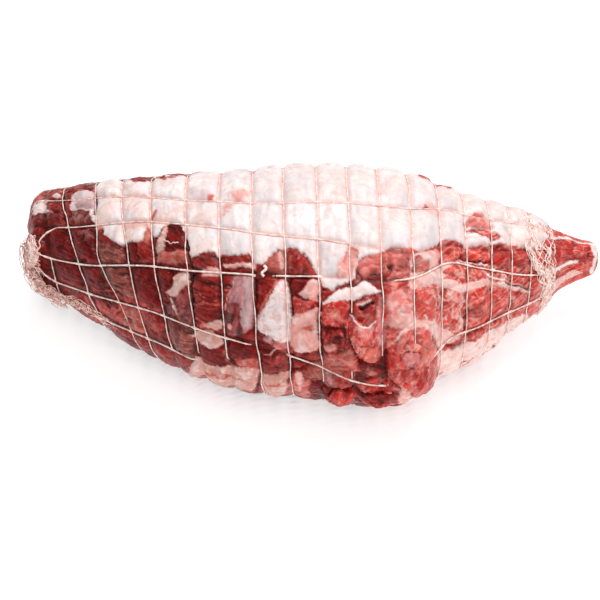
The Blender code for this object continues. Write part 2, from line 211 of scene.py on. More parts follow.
# Areas read from the photograph, in its 600 pixel frame: a kind of surface and the corners of its outline.
# Later areas lie over earlier ones.
STUMP_AREAS = (
    ("brown", (38, 199), (50, 193), (61, 188), (79, 186), (83, 190), (72, 192), (61, 193), (50, 195)),
    ("maroon", (34, 216), (60, 213), (61, 221), (55, 224), (45, 230), (41, 237), (37, 237), (34, 229)),
    ("purple", (34, 214), (52, 211), (60, 213), (59, 218), (48, 219), (34, 220)),
    ("silver", (32, 206), (38, 200), (47, 198), (46, 203), (46, 208), (54, 212), (42, 212), (33, 215)),
    ("darkred", (47, 198), (61, 192), (62, 211), (52, 211), (46, 206)),
    ("silver", (52, 196), (57, 193), (60, 196), (56, 198)),
    ("darkred", (62, 190), (73, 190), (72, 205), (70, 217), (64, 220), (61, 211)),
    ("lilacfat", (73, 193), (83, 190), (95, 191), (95, 200), (93, 208), (89, 211), (82, 210), (71, 211),
     (71, 203)),
    ("mauve", (76, 202), (85, 200), (92, 200), (92, 208), (82, 209), (76, 208)),
    ("smoke", (72, 212), (83, 211), (91, 215), (91, 221), (82, 222), (73, 221)),
    ("maroon", (42, 237), (51, 229), (61, 225), (92, 225), (94, 237), (92, 258), (76, 260), (56, 260),
     (46, 249)),
    ("maroon", (64, 240), (82, 237), (89, 247), (90, 259), (74, 259), (68, 252)),
    ("purple", (79, 229), (89, 229), (91, 236), (87, 242), (83, 235), (78, 236)),
    ("pink", (95, 225), (103, 225), (104, 231), (96, 230)),
)
LEFT_AREAS = (
    ("darkred", (93, 231), (101, 229), (106, 236), (115, 242), (121, 247), (112, 249), (96, 248)),
    ("umber", (94, 247), (106, 246), (120, 247), (122, 263), (100, 261), (94, 254)),
    ("brown", (115, 249), (121, 249), (120, 256), (116, 254)),
    ("maroon", (124, 243), (135, 242), (138, 252), (137, 262), (128, 261), (124, 252)),
    ("darkred", (137, 243), (147, 241), (152, 236), (154, 241), (154, 262), (138, 262)),
    ("orange", (144, 239), (147, 228), (151, 229), (150, 238), (146, 243)),
    ("cream", (158, 237), (166, 225), (168, 231), (166, 247), (158, 254), (154, 249)),
    ("maroon", (168, 232), (177, 228), (184, 237), (185, 249), (166, 250), (166, 240)),
    ("brown", (158, 253), (172, 250), (185, 250), (187, 262), (156, 265)),
    ("maroon", (47, 262), (97, 263), (111, 288), (89, 285), (66, 279), (53, 271)),
    ("maroon", (86, 265), (97, 265), (104, 278), (96, 282), (88, 276)),
    ("umber", (98, 264), (121, 266), (128, 272), (137, 298), (113, 291)),
    ("maroon", (128, 271), (156, 267), (162, 309), (139, 299)),
    ("maroon", (157, 266), (170, 265), (171, 281), (166, 293), (170, 307), (163, 309)),
    ("purple", (171, 299), (189, 290), (191, 322), (176, 318), (164, 312)),
    ("cream", (172, 287), (172, 278), (178, 273), (186, 272), (188, 282), (182, 288), (176, 296),
     (166, 293)),
    ("smoke", (163, 314), (177, 319), (191, 326), (192, 359), (179, 359), (170, 342), (166, 326)),
    ("crimson", (147, 304), (162, 312), (165, 323), (170, 341), (158, 335), (148, 327), (144, 313)),
    ("brown", (121, 307), (136, 308), (141, 311), (144, 325), (134, 321), (124, 316)),
    ("maroon", (94, 293), (111, 293), (117, 308), (107, 304), (97, 300)),
    ("darkred", (73, 285), (88, 287), (94, 300), (82, 293)),
    ("brown", (123, 317), (134, 321), (144, 325), (145, 336), (134, 331), (124, 326)),
    ("darkred", (97, 314), (122, 327), (145, 340), (172, 349), (190, 362), (180, 368), (150, 354),
     (120, 334)),
)
MIDDLE_AREAS = (
    ("darkred", (192, 261), (201, 254), (206, 252), (215, 253), (219, 261), (219, 269), (192, 269)),
    ("fibred", (192, 276), (219, 274), (220, 319), (204, 323), (192, 317)),
    ("pink", (200, 271), (210, 267), (221, 269), (219, 275), (205, 277)),
    ("fibred", (221, 274), (234, 275), (231, 290), (224, 307), (221, 322)),
    ("darkred", (223, 257), (239, 256), (249, 254), (252, 262), (226, 263)),
    ("pink", (224, 264), (244, 262), (247, 266), (226, 268)),
    ("pink", (242, 264), (254, 261), (255, 270), (246, 269)),
    ("darkred", (231, 270), (253, 268), (254, 275), (233, 275)),
    ("lilac", (234, 276), (253, 276), (254, 300), (252, 326), (242, 335), (232, 336), (225, 331),
     (223, 320), (229, 296)),
    ("purple", (225, 309), (233, 302), (240, 306), (243, 319), (243, 333), (232, 335), (226, 330)),
    ("mauve", (243, 280), (252, 278), (253, 298), (250, 325), (243, 327), (241, 312), (246, 300)),
    ("pink", (228, 325), (230, 323), (233, 325), (232, 329), (229, 328)),
    ("darkred", (256, 283), (264, 270), (279, 275), (277, 281), (267, 295), (260, 311), (255, 318)),
    ("brown", (265, 263), (275, 252), (286, 248), (299, 252), (308, 259), (314, 271), (313, 277),
     (288, 274), (262, 271)),
    ("crimson", (288, 250), (299, 252), (308, 259), (314, 271), (313, 278), (289, 274)),
    ("pink", (278, 253), (282, 251), (284, 266), (280, 268)),
    ("silver", (253, 326), (256, 316), (261, 313), (269, 298), (278, 283), (285, 278), (290, 290),
     (291, 320), (289, 344), (278, 344), (265, 335), (256, 331)),
    ("clay", (268, 341), (289, 343), (288, 351), (274, 350)),
    ("maroon", (289, 275), (315, 279), (313, 288), (318, 300), (306, 300), (292, 296)),
    ("pink", (305, 287), (312, 279), (320, 282), (320, 301), (307, 299), (298, 294)),
    ("red", (290, 295), (303, 299), (317, 302), (309, 310), (299, 316), (292, 314)),
    ("pink", (292, 316), (303, 313), (317, 307), (318, 313), (316, 326), (320, 344), (316, 351),
     (298, 353), (290, 344)),
    ("blush", (294, 318), (313, 313), (312, 320), (296, 325)),
    ("pinkred", (303, 329), (311, 325), (315, 329), (309, 331)),
)
LOWER_AREAS = (
    ("umber", (180, 323), (191, 325), (193, 355), (186, 357), (180, 351)),
    ("maroon", (195, 344), (221, 347), (225, 363), (214, 366), (202, 360), (195, 352)),
    ("cream", (192, 336), (198, 331), (211, 332), (222, 341), (220, 347), (210, 348), (202, 344),
     (194, 339)),
    ("cream", (203, 326), (211, 322), (220, 320), (221, 328), (219, 330), (208, 329)),
    ("maroon", (228, 342), (237, 340), (254, 342), (257, 347), (258, 359), (243, 361), (235, 361),
     (228, 353)),
    ("pinkred", (235, 360), (259, 360), (259, 372), (245, 367), (237, 365)),
    ("brown", (223, 345), (227, 349), (231, 366), (226, 364), (224, 354)),
    ("maroon", (255, 342), (269, 345), (276, 350), (272, 355), (261, 357)),
    ("lilac", (263, 338), (271, 335), (274, 343), (267, 344)),
    ("darkred", (261, 359), (272, 355), (280, 350), (288, 350), (289, 361), (288, 372), (275, 374),
     (267, 374), (260, 370)),
    ("crimson", (273, 357), (282, 354), (285, 362), (278, 368)),
    ("lowfat", (199, 358), (206, 366), (231, 367), (245, 367), (256, 369), (260, 378), (252, 391),
     (233, 388), (222, 386), (208, 380), (199, 372)),
    ("cream", (190, 368), (195, 358), (199, 360), (203, 375), (191, 377)),
    ("lowfat", (260, 376), (275, 375), (288, 372), (289, 388), (280, 397), (271, 398), (262, 392)),
    ("darkred", (291, 355), (317, 354), (321, 361), (297, 371), (291, 371)),
    ("pinkred", (286, 383), (294, 377), (317, 382), (318, 392), (307, 398), (290, 393)),
    ("pink", (294, 376), (300, 372), (303, 379), (301, 390), (297, 383)),
    ("brown", (307, 366), (323, 361), (340, 368), (340, 382), (323, 376), (319, 382), (309, 378)),
    ("maroon", (310, 383), (320, 382), (329, 391), (324, 400), (315, 396), (309, 391)),
)
LOBE_AREAS = (
    ("darkred", (319, 327), (341, 326), (344, 336), (346, 350), (334, 352), (325, 351), (320, 344)),
    ("crimson", (321, 333), (329, 332), (331, 342), (323, 343)),
    ("pinkred", (324, 346), (335, 344), (337, 351), (327, 352)),
    ("scarlet", (318, 311), (322, 304), (334, 300), (348, 300), (352, 307), (347, 313), (342, 322),
     (339, 328), (326, 327), (318, 322)),
    ("pinkred", (327, 309), (337, 309), (342, 317), (338, 322), (330, 317)),
    ("red", (322, 290), (332, 291), (338, 286), (335, 294), (324, 300)),
    ("fat", (319, 305), (336, 292), (351, 286), (361, 280), (368, 282), (377, 289), (383, 291),
     (370, 296), (353, 300), (340, 300), (328, 303)),
    ("brown", (310, 364), (322, 357), (346, 351), (354, 358), (356, 379), (353, 387), (339, 391),
     (320, 382)),
    ("red", (336, 378), (346, 372), (356, 377), (353, 388), (341, 390)),
    ("lilac", (327, 375), (332, 373), (334, 386), (329, 384)),
    ("scarlet", (325, 400), (331, 391), (344, 390), (356, 393), (355, 401), (349, 408), (337, 409)),
    ("maroon", (357, 363), (372, 365), (388, 350), (388, 380), (377, 376), (367, 379), (358, 372)),
    ("umber", (363, 370), (371, 368), (378, 374), (370, 376)),
    ("red", (355, 379), (364, 380), (377, 377), (389, 384), (397, 392), (383, 393), (369, 394),
     (360, 391)),
    ("darkred", (357, 395), (369, 395), (382, 393), (396, 396), (401, 406), (377, 405), (360, 402)),
    ("flesh", (342, 323), (353, 315), (352, 306), (358, 300), (377, 295), (384, 296), (386, 328),
     (386, 348), (377, 361), (372, 364), (362, 361), (355, 355), (346, 345), (341, 333)),
    ("red", (353, 303), (367, 296), (377, 296), (377, 309), (375, 323), (367, 325), (360, 321),
     (352, 313)),
    ("scarlet", (362, 297), (374, 294), (370, 300), (362, 301)),
    ("rosy", (356, 325), (375, 326), (371, 336), (364, 342), (358, 335)),
    # painted highlight: a wet sheen down the tongue's right side
    ("sheen", (377, 301), (384, 299), (385, 343), (381, 348), (378, 336)),
    ("orange", (356, 347), (379, 349), (376, 360), (372, 364), (362, 361)),
    ("flesh", (387, 349), (395, 343), (403, 335), (412, 329), (425, 329), (434, 338), (439, 348),
     (438, 371), (430, 397), (425, 399), (413, 401), (410, 393), (399, 391), (390, 382), (386, 366)),
    ("ruby", (386, 352), (393, 344), (399, 352), (401, 362), (395, 377), (389, 376)),
    ("marbled", (405, 346), (412, 335), (420, 333), (424, 342), (423, 352), (412, 351)),
    ("orange", (422, 338), (431, 340), (437, 351), (430, 366), (423, 362)),
    # painted highlight: a wet sheen on the round lobe
    ("sheen", (401, 355), (413, 351), (421, 355), (420, 364), (413, 369), (405, 363)),
    ("scarlet", (402, 371), (418, 370), (424, 376), (416, 385), (404, 384)),
    ("scarlet", (418, 384), (429, 369), (436, 372), (435, 381), (429, 397), (424, 397)),
    ("pink", (399, 394), (406, 390), (411, 395), (412, 404), (404, 406), (399, 400)),
)
RIGHT_AREAS = (
    ("rosy", (388, 294), (411, 287), (416, 295), (420, 324), (390, 329), (388, 313)),
    ("rosy", (398, 302), (412, 301), (410, 313), (401, 312)),
    ("pink", (389, 316), (412, 313), (419, 324), (391, 328)),
    ("marbled", (415, 294), (428, 286), (438, 287), (440, 313), (440, 324), (422, 322), (418, 310)),
    ("marbled", (441, 294), (463, 287), (464, 335), (453, 339), (441, 327)),
    ("beef", (466, 291), (487, 286), (487, 324), (467, 333)),
    ("brown", (472, 306), (481, 305), (482, 315), (473, 317)),
    ("beef", (489, 289), (507, 288), (507, 312), (489, 322)),
    ("beef", (508, 289), (525, 293), (523, 307), (508, 312)),
    ("beef", (525, 295), (533, 293), (530, 302)),
    ("blush", (394, 347), (401, 349), (406, 344), (411, 335), (420, 332), (430, 337), (437, 344),
     (441, 350), (461, 344), (460, 337), (444, 328), (434, 321), (418, 320), (406, 327), (397, 337)),
    ("clay", (357, 275), (357, 266), (364, 257), (374, 254), (388, 250), (389, 268), (387, 275),
     (376, 273), (366, 279), (355, 286)),
    ("clay", (388, 249), (395, 247), (408, 249), (410, 261), (402, 266), (392, 268)),
    # painted shade in a small dark hole
    ("black", (388, 266), (393, 265), (391, 273)),
    ("clay", (392, 275), (410, 263), (412, 271), (396, 280)),
    ("fatpink", (412, 257), (421, 250), (434, 251), (443, 262), (463, 260), (465, 265), (443, 279),
     (430, 286), (411, 288), (411, 270)),
    ("clay", (414, 266), (428, 261), (428, 271), (414, 272)),
    ("clay", (414, 259), (420, 255), (421, 261), (415, 264)),
    ("scarlet", (437, 257), (443, 262), (440, 267)),
    ("beef", (440, 242), (447, 240), (458, 241), (466, 248), (463, 258), (452, 256), (441, 249)),
    ("beef", (466, 248), (476, 246), (498, 245), (500, 258), (489, 261), (464, 260)),
    ("marbled", (463, 261), (488, 264), (487, 277), (470, 281), (453, 275), (444, 271)),
    ("ruby", (494, 252), (501, 246), (512, 250), (531, 250), (530, 264), (510, 266), (494, 264)),
    ("beef", (532, 251), (540, 253), (542, 267), (532, 268)),
    ("marbled", (489, 268), (508, 268), (507, 280), (494, 275)),
    ("beef", (510, 268), (530, 268), (528, 283), (512, 282)),
    ("beef", (532, 271), (540, 271), (538, 280), (531, 284)),
    ("fatpink", (430, 281), (449, 279), (463, 284), (473, 281), (486, 279), (501, 282), (519, 284),
     (533, 290), (532, 294), (519, 291), (506, 288), (487, 286), (472, 290), (459, 293), (445, 287)),
    ("marbled", (443, 351), (454, 341), (467, 333), (486, 324), (507, 318), (519, 314), (507, 323),
     (486, 333), (468, 343)),
    ("rosefat", (440, 354), (468, 344), (487, 334), (507, 323), (524, 315), (530, 320), (501, 345),
     (484, 359), (462, 372), (444, 381), (440, 370)),
    ("rosy", (467, 220), (473, 214), (481, 214), (491, 223), (494, 227), (487, 230), (480, 229),
     (463, 226)),
    ("silver", (466, 233), (489, 237), (490, 243), (486, 246), (467, 243)),
    ("beef", (466, 230), (490, 231), (499, 236), (499, 239), (491, 240), (478, 235)),
)
SHANK_AREAS = (
    ("beef", (546, 227), (565, 231), (584, 241), (565, 238), (549, 238)),
    ("ruby", (549, 240), (574, 242), (575, 256), (564, 264), (548, 278), (544, 270)),
    ("beef", (574, 245), (590, 244), (594, 256), (594, 270), (583, 275), (572, 270)),
    ("red", (575, 256), (584, 249), (590, 247), (588, 260), (580, 262)),
    ("fatpink", (548, 284), (573, 270), (582, 274), (566, 281), (557, 290), (548, 298)),
    ("fat", (591, 243), (599, 245), (598, 262), (592, 276), (590, 270), (594, 258)),
)
CAP_AREAS = (
    ("darkred", (131, 180), (140, 175), (158, 172), (165, 177), (166, 181), (153, 179), (143, 183),
     (133, 184)),
    ("darkred", (167, 179), (178, 173), (186, 171), (201, 174), (185, 176), (176, 178)),
    ("lilacfat", (97, 192), (106, 191), (105, 199), (98, 198)),
    ("blossom", (115, 197), (121, 195), (122, 209), (117, 211)),
    ("blossom", (126, 194), (146, 192), (157, 196), (143, 206), (128, 215), (124, 206)),
    ("fatpink", (124, 222), (146, 220), (153, 223), (146, 228), (128, 228)),
    ("pinkred", (148, 219), (153, 213), (158, 210), (157, 214), (151, 221)),
    ("lilacfat", (192, 191), (211, 193), (210, 202), (195, 206)),
    ("orange", (207, 201), (209, 196), (214, 196), (212, 202)),
    ("pink", (223, 216), (224, 207), (233, 200), (229, 196), (244, 191), (248, 195), (236, 206),
     (229, 212)),
    ("white", (231, 225), (251, 206), (252, 229), (233, 230)),
    ("greyfat", (225, 231), (251, 233), (251, 252), (225, 254)),
    ("greyfat", (257, 196), (281, 193), (283, 217), (257, 229)),
    ("greyfat", (289, 178), (316, 176), (314, 190), (288, 192)),
    ("white", (289, 206), (314, 210), (314, 236), (289, 234)),
    ("white", (318, 206), (346, 206), (348, 238), (320, 240)),
    ("blossom", (318, 184), (344, 184), (344, 196), (318, 197)),
    ("pink", (345, 257), (350, 244), (357, 248), (357, 262), (351, 275), (337, 276), (339, 264)),
    ("blossom", (383, 182), (406, 180), (404, 192), (381, 196)),
    ("greyfat", (408, 207), (421, 206), (422, 211), (408, 215)),
    ("fatpink", (424, 205), (440, 208), (440, 216), (426, 214)),
    ("blossom", (446, 190), (500, 203), (500, 210), (470, 205), (446, 198)),
)
# Thin marks read in the same way: a kind, the width in pixels, and the points that the mark runs through; the
# grooves and the black notch are painted shade in creases and a hollow, which also sink
MARKS = (
    ("groove", 2.4, (254, 271), (255, 290), (255, 312), (254, 337)),
    ("groove", 2.0, (192, 272), (191, 290), (192, 317)),
    ("groove", 2.0, (221, 272), (220, 290), (221, 320)),
    ("groove", 1.8, (186, 240), (188, 254), (190, 268), (189, 285)),
    ("groove", 1.8, (122, 245), (123, 254), (128, 264)),
    ("groove", 2.2, (289, 276), (290, 294), (292, 314)),
    ("groove", 2.5, (318, 296), (320, 310), (318, 326), (321, 345)),
    ("groove", 2.2, (321, 327), (330, 329), (340, 328)),
    ("groove", 2.4, (343, 326), (346, 340), (350, 350), (358, 362)),
    ("groove", 2.6, (386, 352), (386, 366), (388, 382), (399, 392)),
    ("groove", 2.0, (357, 364), (365, 364), (372, 366)),
    ("groove", 2.0, (325, 400), (330, 390), (343, 389), (357, 391)),
    ("groove", 2.0, (357, 393), (370, 395), (384, 392)),
    ("groove", 2.2, (291, 356), (291, 371), (288, 384)),
    ("groove", 1.8, (228, 342), (227, 354), (232, 366)),
    ("groove", 2.2, (259, 357), (260, 372), (259, 384), (256, 395)),
    ("pinkred", 1.4, (206, 371), (222, 376), (240, 378)),
    ("pinkred", 1.4, (266, 383), (276, 384), (285, 380)),
    ("groove", 1.6, (292, 372), (306, 366), (320, 360)),
    ("groove", 1.6, (94, 232), (93, 246), (97, 258)),
    ("groove", 1.6, (62, 192), (62, 205), (63, 219)),
    ("groove", 2.0, (95, 192), (96, 204), (93, 214)),
    ("groove", 1.8, (353, 286), (362, 279), (357, 270)),
    ("groove", 1.6, (463, 249), (465, 259), (488, 262)),
    ("groove", 1.6, (463, 341), (468, 336), (484, 329)),
    ("groove", 1.8, (441, 352), (447, 346), (461, 346)),
    ("groove", 1.5, (508, 284), (522, 287), (533, 291)),
    # painted shade in the dark notch at the top of the tongue's hollow
    ("black", 3.0, (361, 309), (366, 307), (372, 303)),
    ("white", 1.6, (357, 305), (363, 305), (370, 301)),
    ("white", 1.7, (351, 315), (356, 322), (362, 326), (369, 327), (376, 322)),
    ("orange", 1.8, (260, 312), (265, 300), (272, 289), (280, 279)),
    ("pink", 1.0, (224, 310), (228, 297), (234, 283)),
    ("fatpink", 1.2, (171, 298), (174, 305), (177, 313)),
    ("fatpink", 1.2, (265, 356), (271, 355), (276, 350)),
    ("pinkred", 1.0, (192, 304), (206, 303), (218, 305)),
    ("greyfat", 0.9, (273, 324), (280, 323), (288, 321)),
    ("pink", 1.4, (401, 352), (407, 348), (413, 351)),
    ("white", 2.0, (550, 239), (564, 237), (583, 242), (595, 244)),
    ("white", 3.4, (547, 279), (556, 271), (565, 265), (576, 261)),
    ("red", 2.4, (547, 284), (560, 276), (574, 268)),
    ("white", 1.4, (463, 260), (475, 263), (488, 265)),
    ("white", 1.6, (487, 274), (498, 278), (509, 281)),
    ("scarlet", 2.2, (418, 179), (431, 182), (449, 190)),
    ("scarlet", 1.8, (424, 207), (428, 208)),
    ("pinkred", 1.2, (344, 262), (346, 254), (348, 250)),
    ("pinkred", 1.2, (352, 248), (357, 252), (357, 258)),
    ("maroon", 1.8, (462, 366), (467, 362), (472, 360)),
    ("maroon", 2.2, (484, 355), (486, 354)),
    ("maroon", 1.6, (491, 351), (494, 346)),
    ("pinkfat", 1.2, (361, 218), (368, 224), (374, 233)),
)

# Muscle ends that bulge out through the net: name, x, degrees, half width, half height and how far they
# stand out in mm, and their kind of surface; their depth is in mm too
LOBES = (
    ("tongue", 29, 15, 12, 18, 7, "scarlet"),
    ("curl", 58, -4, 14, 18, 8, "red"),
    ("low_left", 15, -21, 12, 12, 7, "scarlet"),
    ("low_right", 38, -22, 13, 10, 7, "red"),
    ("bead", 9, 28, 8, 8, 4.5, "scarlet"),
)
LOBE_DEPTH = 12

# Floor: how strongly it glows, its own grey, and over how many mm the roast's contact shadow fades
FLOOR_GLOW = 0.83
FLOOR_GREY = 0.38
SHADOW_REACH = 3.4
# Lights: the sky's strength, then each softbox's name, place and size in metres and power in watts
SKY_STRENGTH = 0.38
SOFTBOX_AIM = Vector((0, 0, 0.05))
SOFTBOXES = (
    ("softbox_top", (0.2, 0.35, 1.1), (0.9, 0.5), 10),
    ("softbox_front", (0.3, -1.1, 0.9), (0.7, 0.4), 6),
)
# Camera: it looks 35 degrees down at the target, with the photograph's scale there
CAMERA_ELEVATION = math.radians(35)
CAMERA_UP = np.array((0, math.sin(CAMERA_ELEVATION), math.cos(CAMERA_ELEVATION)))
CAMERA_BACK = np.array((0, -math.cos(CAMERA_ELEVATION), math.sin(CAMERA_ELEVATION)))
MM_PER_PIXEL = 0.63
FOCAL_PIXELS = 2000
PICTURE_SIDE = 600
SENSOR_MM = 36
TARGET_MM = np.array((-8.2, -5.42, 51.3))


def curve(x, places, values):
    """Smooth curve through the values at the places, held flat beyond both ends."""
    x = np.clip(x, places[0], places[-1])
    step = np.diff(places)
    slope = np.diff(values) / step
    tangent = np.empty_like(values)
    tangent[0] = slope[0]
    tangent[-1] = slope[-1]
    tangent[1:-1] = (slope[:-1] * step[1:] + slope[1:] * step[:-1]) / (step[:-1] + step[1:])
    i = np.clip(np.searchsorted(places, x, side="right") - 1, 0, len(places) - 2)
    t = (x - places[i]) / step[i]
    result = (2 * t ** 3 - 3 * t ** 2 + 1) * values[i]
    result += (t ** 3 - 2 * t ** 2 + t) * step[i] * tangent[i]
    result += (3 * t ** 2 - 2 * t ** 3) * values[i + 1]
    result += (t ** 3 - t ** 2) * step[i] * tangent[i + 1]
    return result


def ramp(value, low, high):
    """Smooth step from 0 at low to 1 at high."""
    t = np.clip((value - low) / (high - low), 0, 1)
    return t * t * (3 - 2 * t)


def hashed(ix, iy, iz, seed):
    """Repeatable value from 0 to 1 for each whole-number place."""
    h = (ix * 374761393 + iy * 668265263 + iz * 2147483647 + seed * 974634777).astype(np.int64)
    h = (h ^ (h >> 13)) * 1274126177
    h = h ^ (h >> 16)
    return (h & 0xFFFFFF) / float(0xFFFFFF)


def noise(p, seed):
    """Smooth noise from 0 to 1 at points of shape (..., 3)."""
    base = np.floor(p)
    f = p - base
    f = f * f * f * (f * (f * 6 - 15) + 10)
    i = base.astype(np.int64)
    total = 0
    for dx in (0, 1):
        wx = f[..., 0] if dx else 1 - f[..., 0]
        for dy in (0, 1):
            wy = f[..., 1] if dy else 1 - f[..., 1]
            for dz in (0, 1):
                wz = f[..., 2] if dz else 1 - f[..., 2]
                total = total + wx * wy * wz * hashed(i[..., 0] + dx, i[..., 1] + dy, i[..., 2] + dz, seed)
    return total


def layered(p, seed, layers):
    """Noise with finer and fainter noise over it, from 0 to 1."""
    total = 0
    weight = 1.0
    whole = 0.0
    for k in range(layers):
        total = total + weight * noise(p * 2.03 ** k + 17.3 * k, seed + k)
        whole += weight
        weight *= 0.5
    return total / whole


def ridges(p, seed, layers):
    """Noise with thin bright lines, from 0 to 1."""
    total = 0
    weight = 1.0
    whole = 0.0
    for k in range(layers):
        total = total + weight * (1 - np.abs(2 * noise(p * 2.1 ** k + 9.1 * k, seed + k) - 1))
        whole += weight
        weight *= 0.45
    return total / whole


def cap_factor(x):
    """How far the body has closed at its ends: 1 along the middle, 0 at the tips."""
    k = np.where(x < STUMP_X, (STUMP_X - x) / STUMP_LENGTH, 0)
    k = np.where(x > SHANK_X, (x - SHANK_X) / SHANK_LENGTH, k)
    return (1 - np.clip(k, 0, 1) ** END_ROUNDNESS) ** (1 / END_ROUNDNESS)


def skin(x, angle):
    """Point of the body under the yarn, in mm."""
    x, angle = np.broadcast_arrays(np.asarray(x, float), np.asarray(angle, float))
    factor = cap_factor(x)
    lump = 1.1 * np.sin(x / 17 + 2 * angle) * np.cos(x / 29 - angle)
    depth = (curve(x, STATIONS[:, 0], STATIONS[:, 3]) + lump) * factor
    height = (curve(x, STATIONS[:, 0], STATIONS[:, 4]) + lump) * factor
    y = curve(x, STATIONS[:, 0], STATIONS[:, 1]) - depth * np.cos(angle)
    z = curve(x, STATIONS[:, 0], STATIONS[:, 2]) + height * np.sin(angle)
    return np.stack((x, y, z), -1)


def outward(x, angle):
    """Unit normal of the body; straight along the roast at its two poles."""
    along = skin(x + 0.02, angle) - skin(x - 0.02, angle)
    around = skin(x, angle + 0.01) - skin(x, angle - 0.01)
    normal = np.cross(along, around)
    length = np.linalg.norm(normal, axis=-1, keepdims=True)
    pole = np.zeros_like(normal)
    pole[..., 0] = np.where(normal[..., 0] < 0, -1.0, 1.0)
    at_pole = (cap_factor(np.broadcast_to(x, normal.shape[:-1])) < 0.1)[..., None]
    return np.where(at_pole, pole, normal / np.maximum(length, 1e-12))


def lean(s, angle):
    """How far along the roast a ring has moved at an angle, in mm."""
    place, reach, middle, turn, shift = STRAIGHT_HOOP
    straightened = shift * np.exp(-((s - place) / reach) ** 2 - (wrapped(angle - middle) / turn) ** 2)
    return curve(s, LEAN[:, 0], LEAN[:, 1]) * (0.5 - 0.5 * np.sin(angle - LEAN_TURN)) + straightened


def ring_place(x, angle):
    """The place s on top of the roast of the ring that passes through x at this angle."""
    s = np.array(x, float)
    for _ in range(12):
        s = 0.5 * s + 0.5 * (x - lean(s, angle))
    return s


def strand_angle(index, s):
    """Angle of a strand where it crosses the ring at s."""
    middle = math.radians(STRANDS[index, 2])
    return np.radians(curve(s + lean(s, middle), STRAND_PLACES, STRANDS[index]))


def gathered(index, s):
    """Angle of a strand drawn in towards the knot at the front of the stump."""
    angle = strand_angle(index, s)
    if index not in FRONT_STRANDS:
        return angle
    drawn = np.clip((GATHER_START - s - lean(s, angle)) / GATHER_REACH, 0, 1) ** 2
    return angle + (GATHER_ANGLE - angle) * drawn


def wrapped(angle):
    """The same angle between -pi and pi."""
    return (angle + math.pi) % (2 * math.pi) - math.pi


def local_radius(x, angle):
    """Millimetres round the body for each radian at this place."""
    depth = curve(x, STATIONS[:, 0], STATIONS[:, 3]) * cap_factor(x)
    height = curve(x, STATIONS[:, 0], STATIONS[:, 4]) * cap_factor(x)
    return np.sqrt((depth * np.sin(angle)) ** 2 + (height * np.cos(angle)) ** 2)


def net_distances(x, angle):
    """Distance in mm to the nearest hoop and to the nearest strand."""
    s = ring_place(x, angle)
    i = np.clip(np.searchsorted(HOOPS, s) - 1, 0, len(HOOPS) - 2)
    to_hoop = np.minimum(np.abs(s - HOOPS[i]), np.abs(s - HOOPS[i + 1]))
    radius = local_radius(x, angle)
    table = np.linspace(-190, 190, 761)
    to_strand = np.full_like(s, 1e3)
    for index in range(len(STRANDS)):
        there = np.interp(s, table, strand_angle(index, table))
        to_strand = np.minimum(to_strand, np.abs(wrapped(angle - there)) * radius)
    return to_hoop, to_strand


def linear(colour):
    """Colour of 0 to 255 as the linear light that materials use."""
    c = np.asarray(colour, float) / 255.0
    return np.where(c <= 0.04045, c / 12.92, ((c + 0.055) / 1.055) ** 2.4)


def above_skin(x, angle, lift):
    """Points of the body moved outward by lift mm."""
    return skin(x, angle) + outward(x, angle) * lift[..., None]


def in_picture(point):
    """Pixels across and down at which points in mm lie in the photograph, and the way to the camera."""
    camera = TARGET_MM + CAMERA_BACK * MM_PER_PIXEL * FOCAL_PIXELS
    away = point - camera
    depth = -(away @ CAMERA_BACK)
    across = PICTURE_SIDE / 2 + FOCAL_PIXELS * away[..., 0] / depth
    down = PICTURE_SIDE / 2 - FOCAL_PIXELS * (away @ CAMERA_UP) / depth
    return across, down, -away


def ragged(point, seed):
    """How many pixels a painted edge strays at each point, so that it looks torn and not drawn."""
    return 3.0 * (layered(point / 3.4, seed, 4) - 0.5) + 1.6 * (noise(point / 1.1, seed + 4) - 0.5)


def rounded(points, closed, steps=6):
    """The corners joined by a smooth curve through all of them."""
    p = np.array(points, float)
    n = len(p)
    t = np.linspace(0, 1, steps, endpoint=False)[:, None]
    pieces = []
    for i in range(n if closed else n - 1):
        if closed:
            a, b, c, d = p[(i - 1) % n], p[i], p[(i + 1) % n], p[(i + 2) % n]
        else:
            a, b, c, d = p[max(i - 1, 0)], p[i], p[i + 1], p[min(i + 2, n - 1)]
        leave = ROUNDING * (c - a)
        arrive = ROUNDING * (d - b)
        pieces.append(b + leave * t + (3 * (c - b) - 2 * leave - arrive) * t ** 2
                      + (2 * (b - c) + leave + arrive) * t ** 3)
    if not closed:
        pieces.append(p[-1:])
    return np.concatenate(pieces)


def distance_to(across, down, corners, closed):
    """Distance in pixels to a line; inside a closed one it is negative."""
    nearest = np.full(across.shape, 1e9)
    inside = np.zeros(across.shape, bool)
    count = len(corners)
    for i in range(count if closed else count - 1):
        ax, ay = corners[i]
        bx, by = corners[(i + 1) % count]
        length = max((bx - ax) ** 2 + (by - ay) ** 2, 1e-9)
        t = np.clip(((across - ax) * (bx - ax) + (down - ay) * (by - ay)) / length, 0, 1)
        nearest = np.minimum(nearest, np.hypot(across - ax - t * (bx - ax), down - ay - t * (by - ay)))
        if closed and ay != by:
            crosses = (ay > down) != (by > down)
            inside ^= crosses & (across < (bx - ax) * (down - ay) / (by - ay) + ax)
    return np.where(inside, -nearest, nearest)


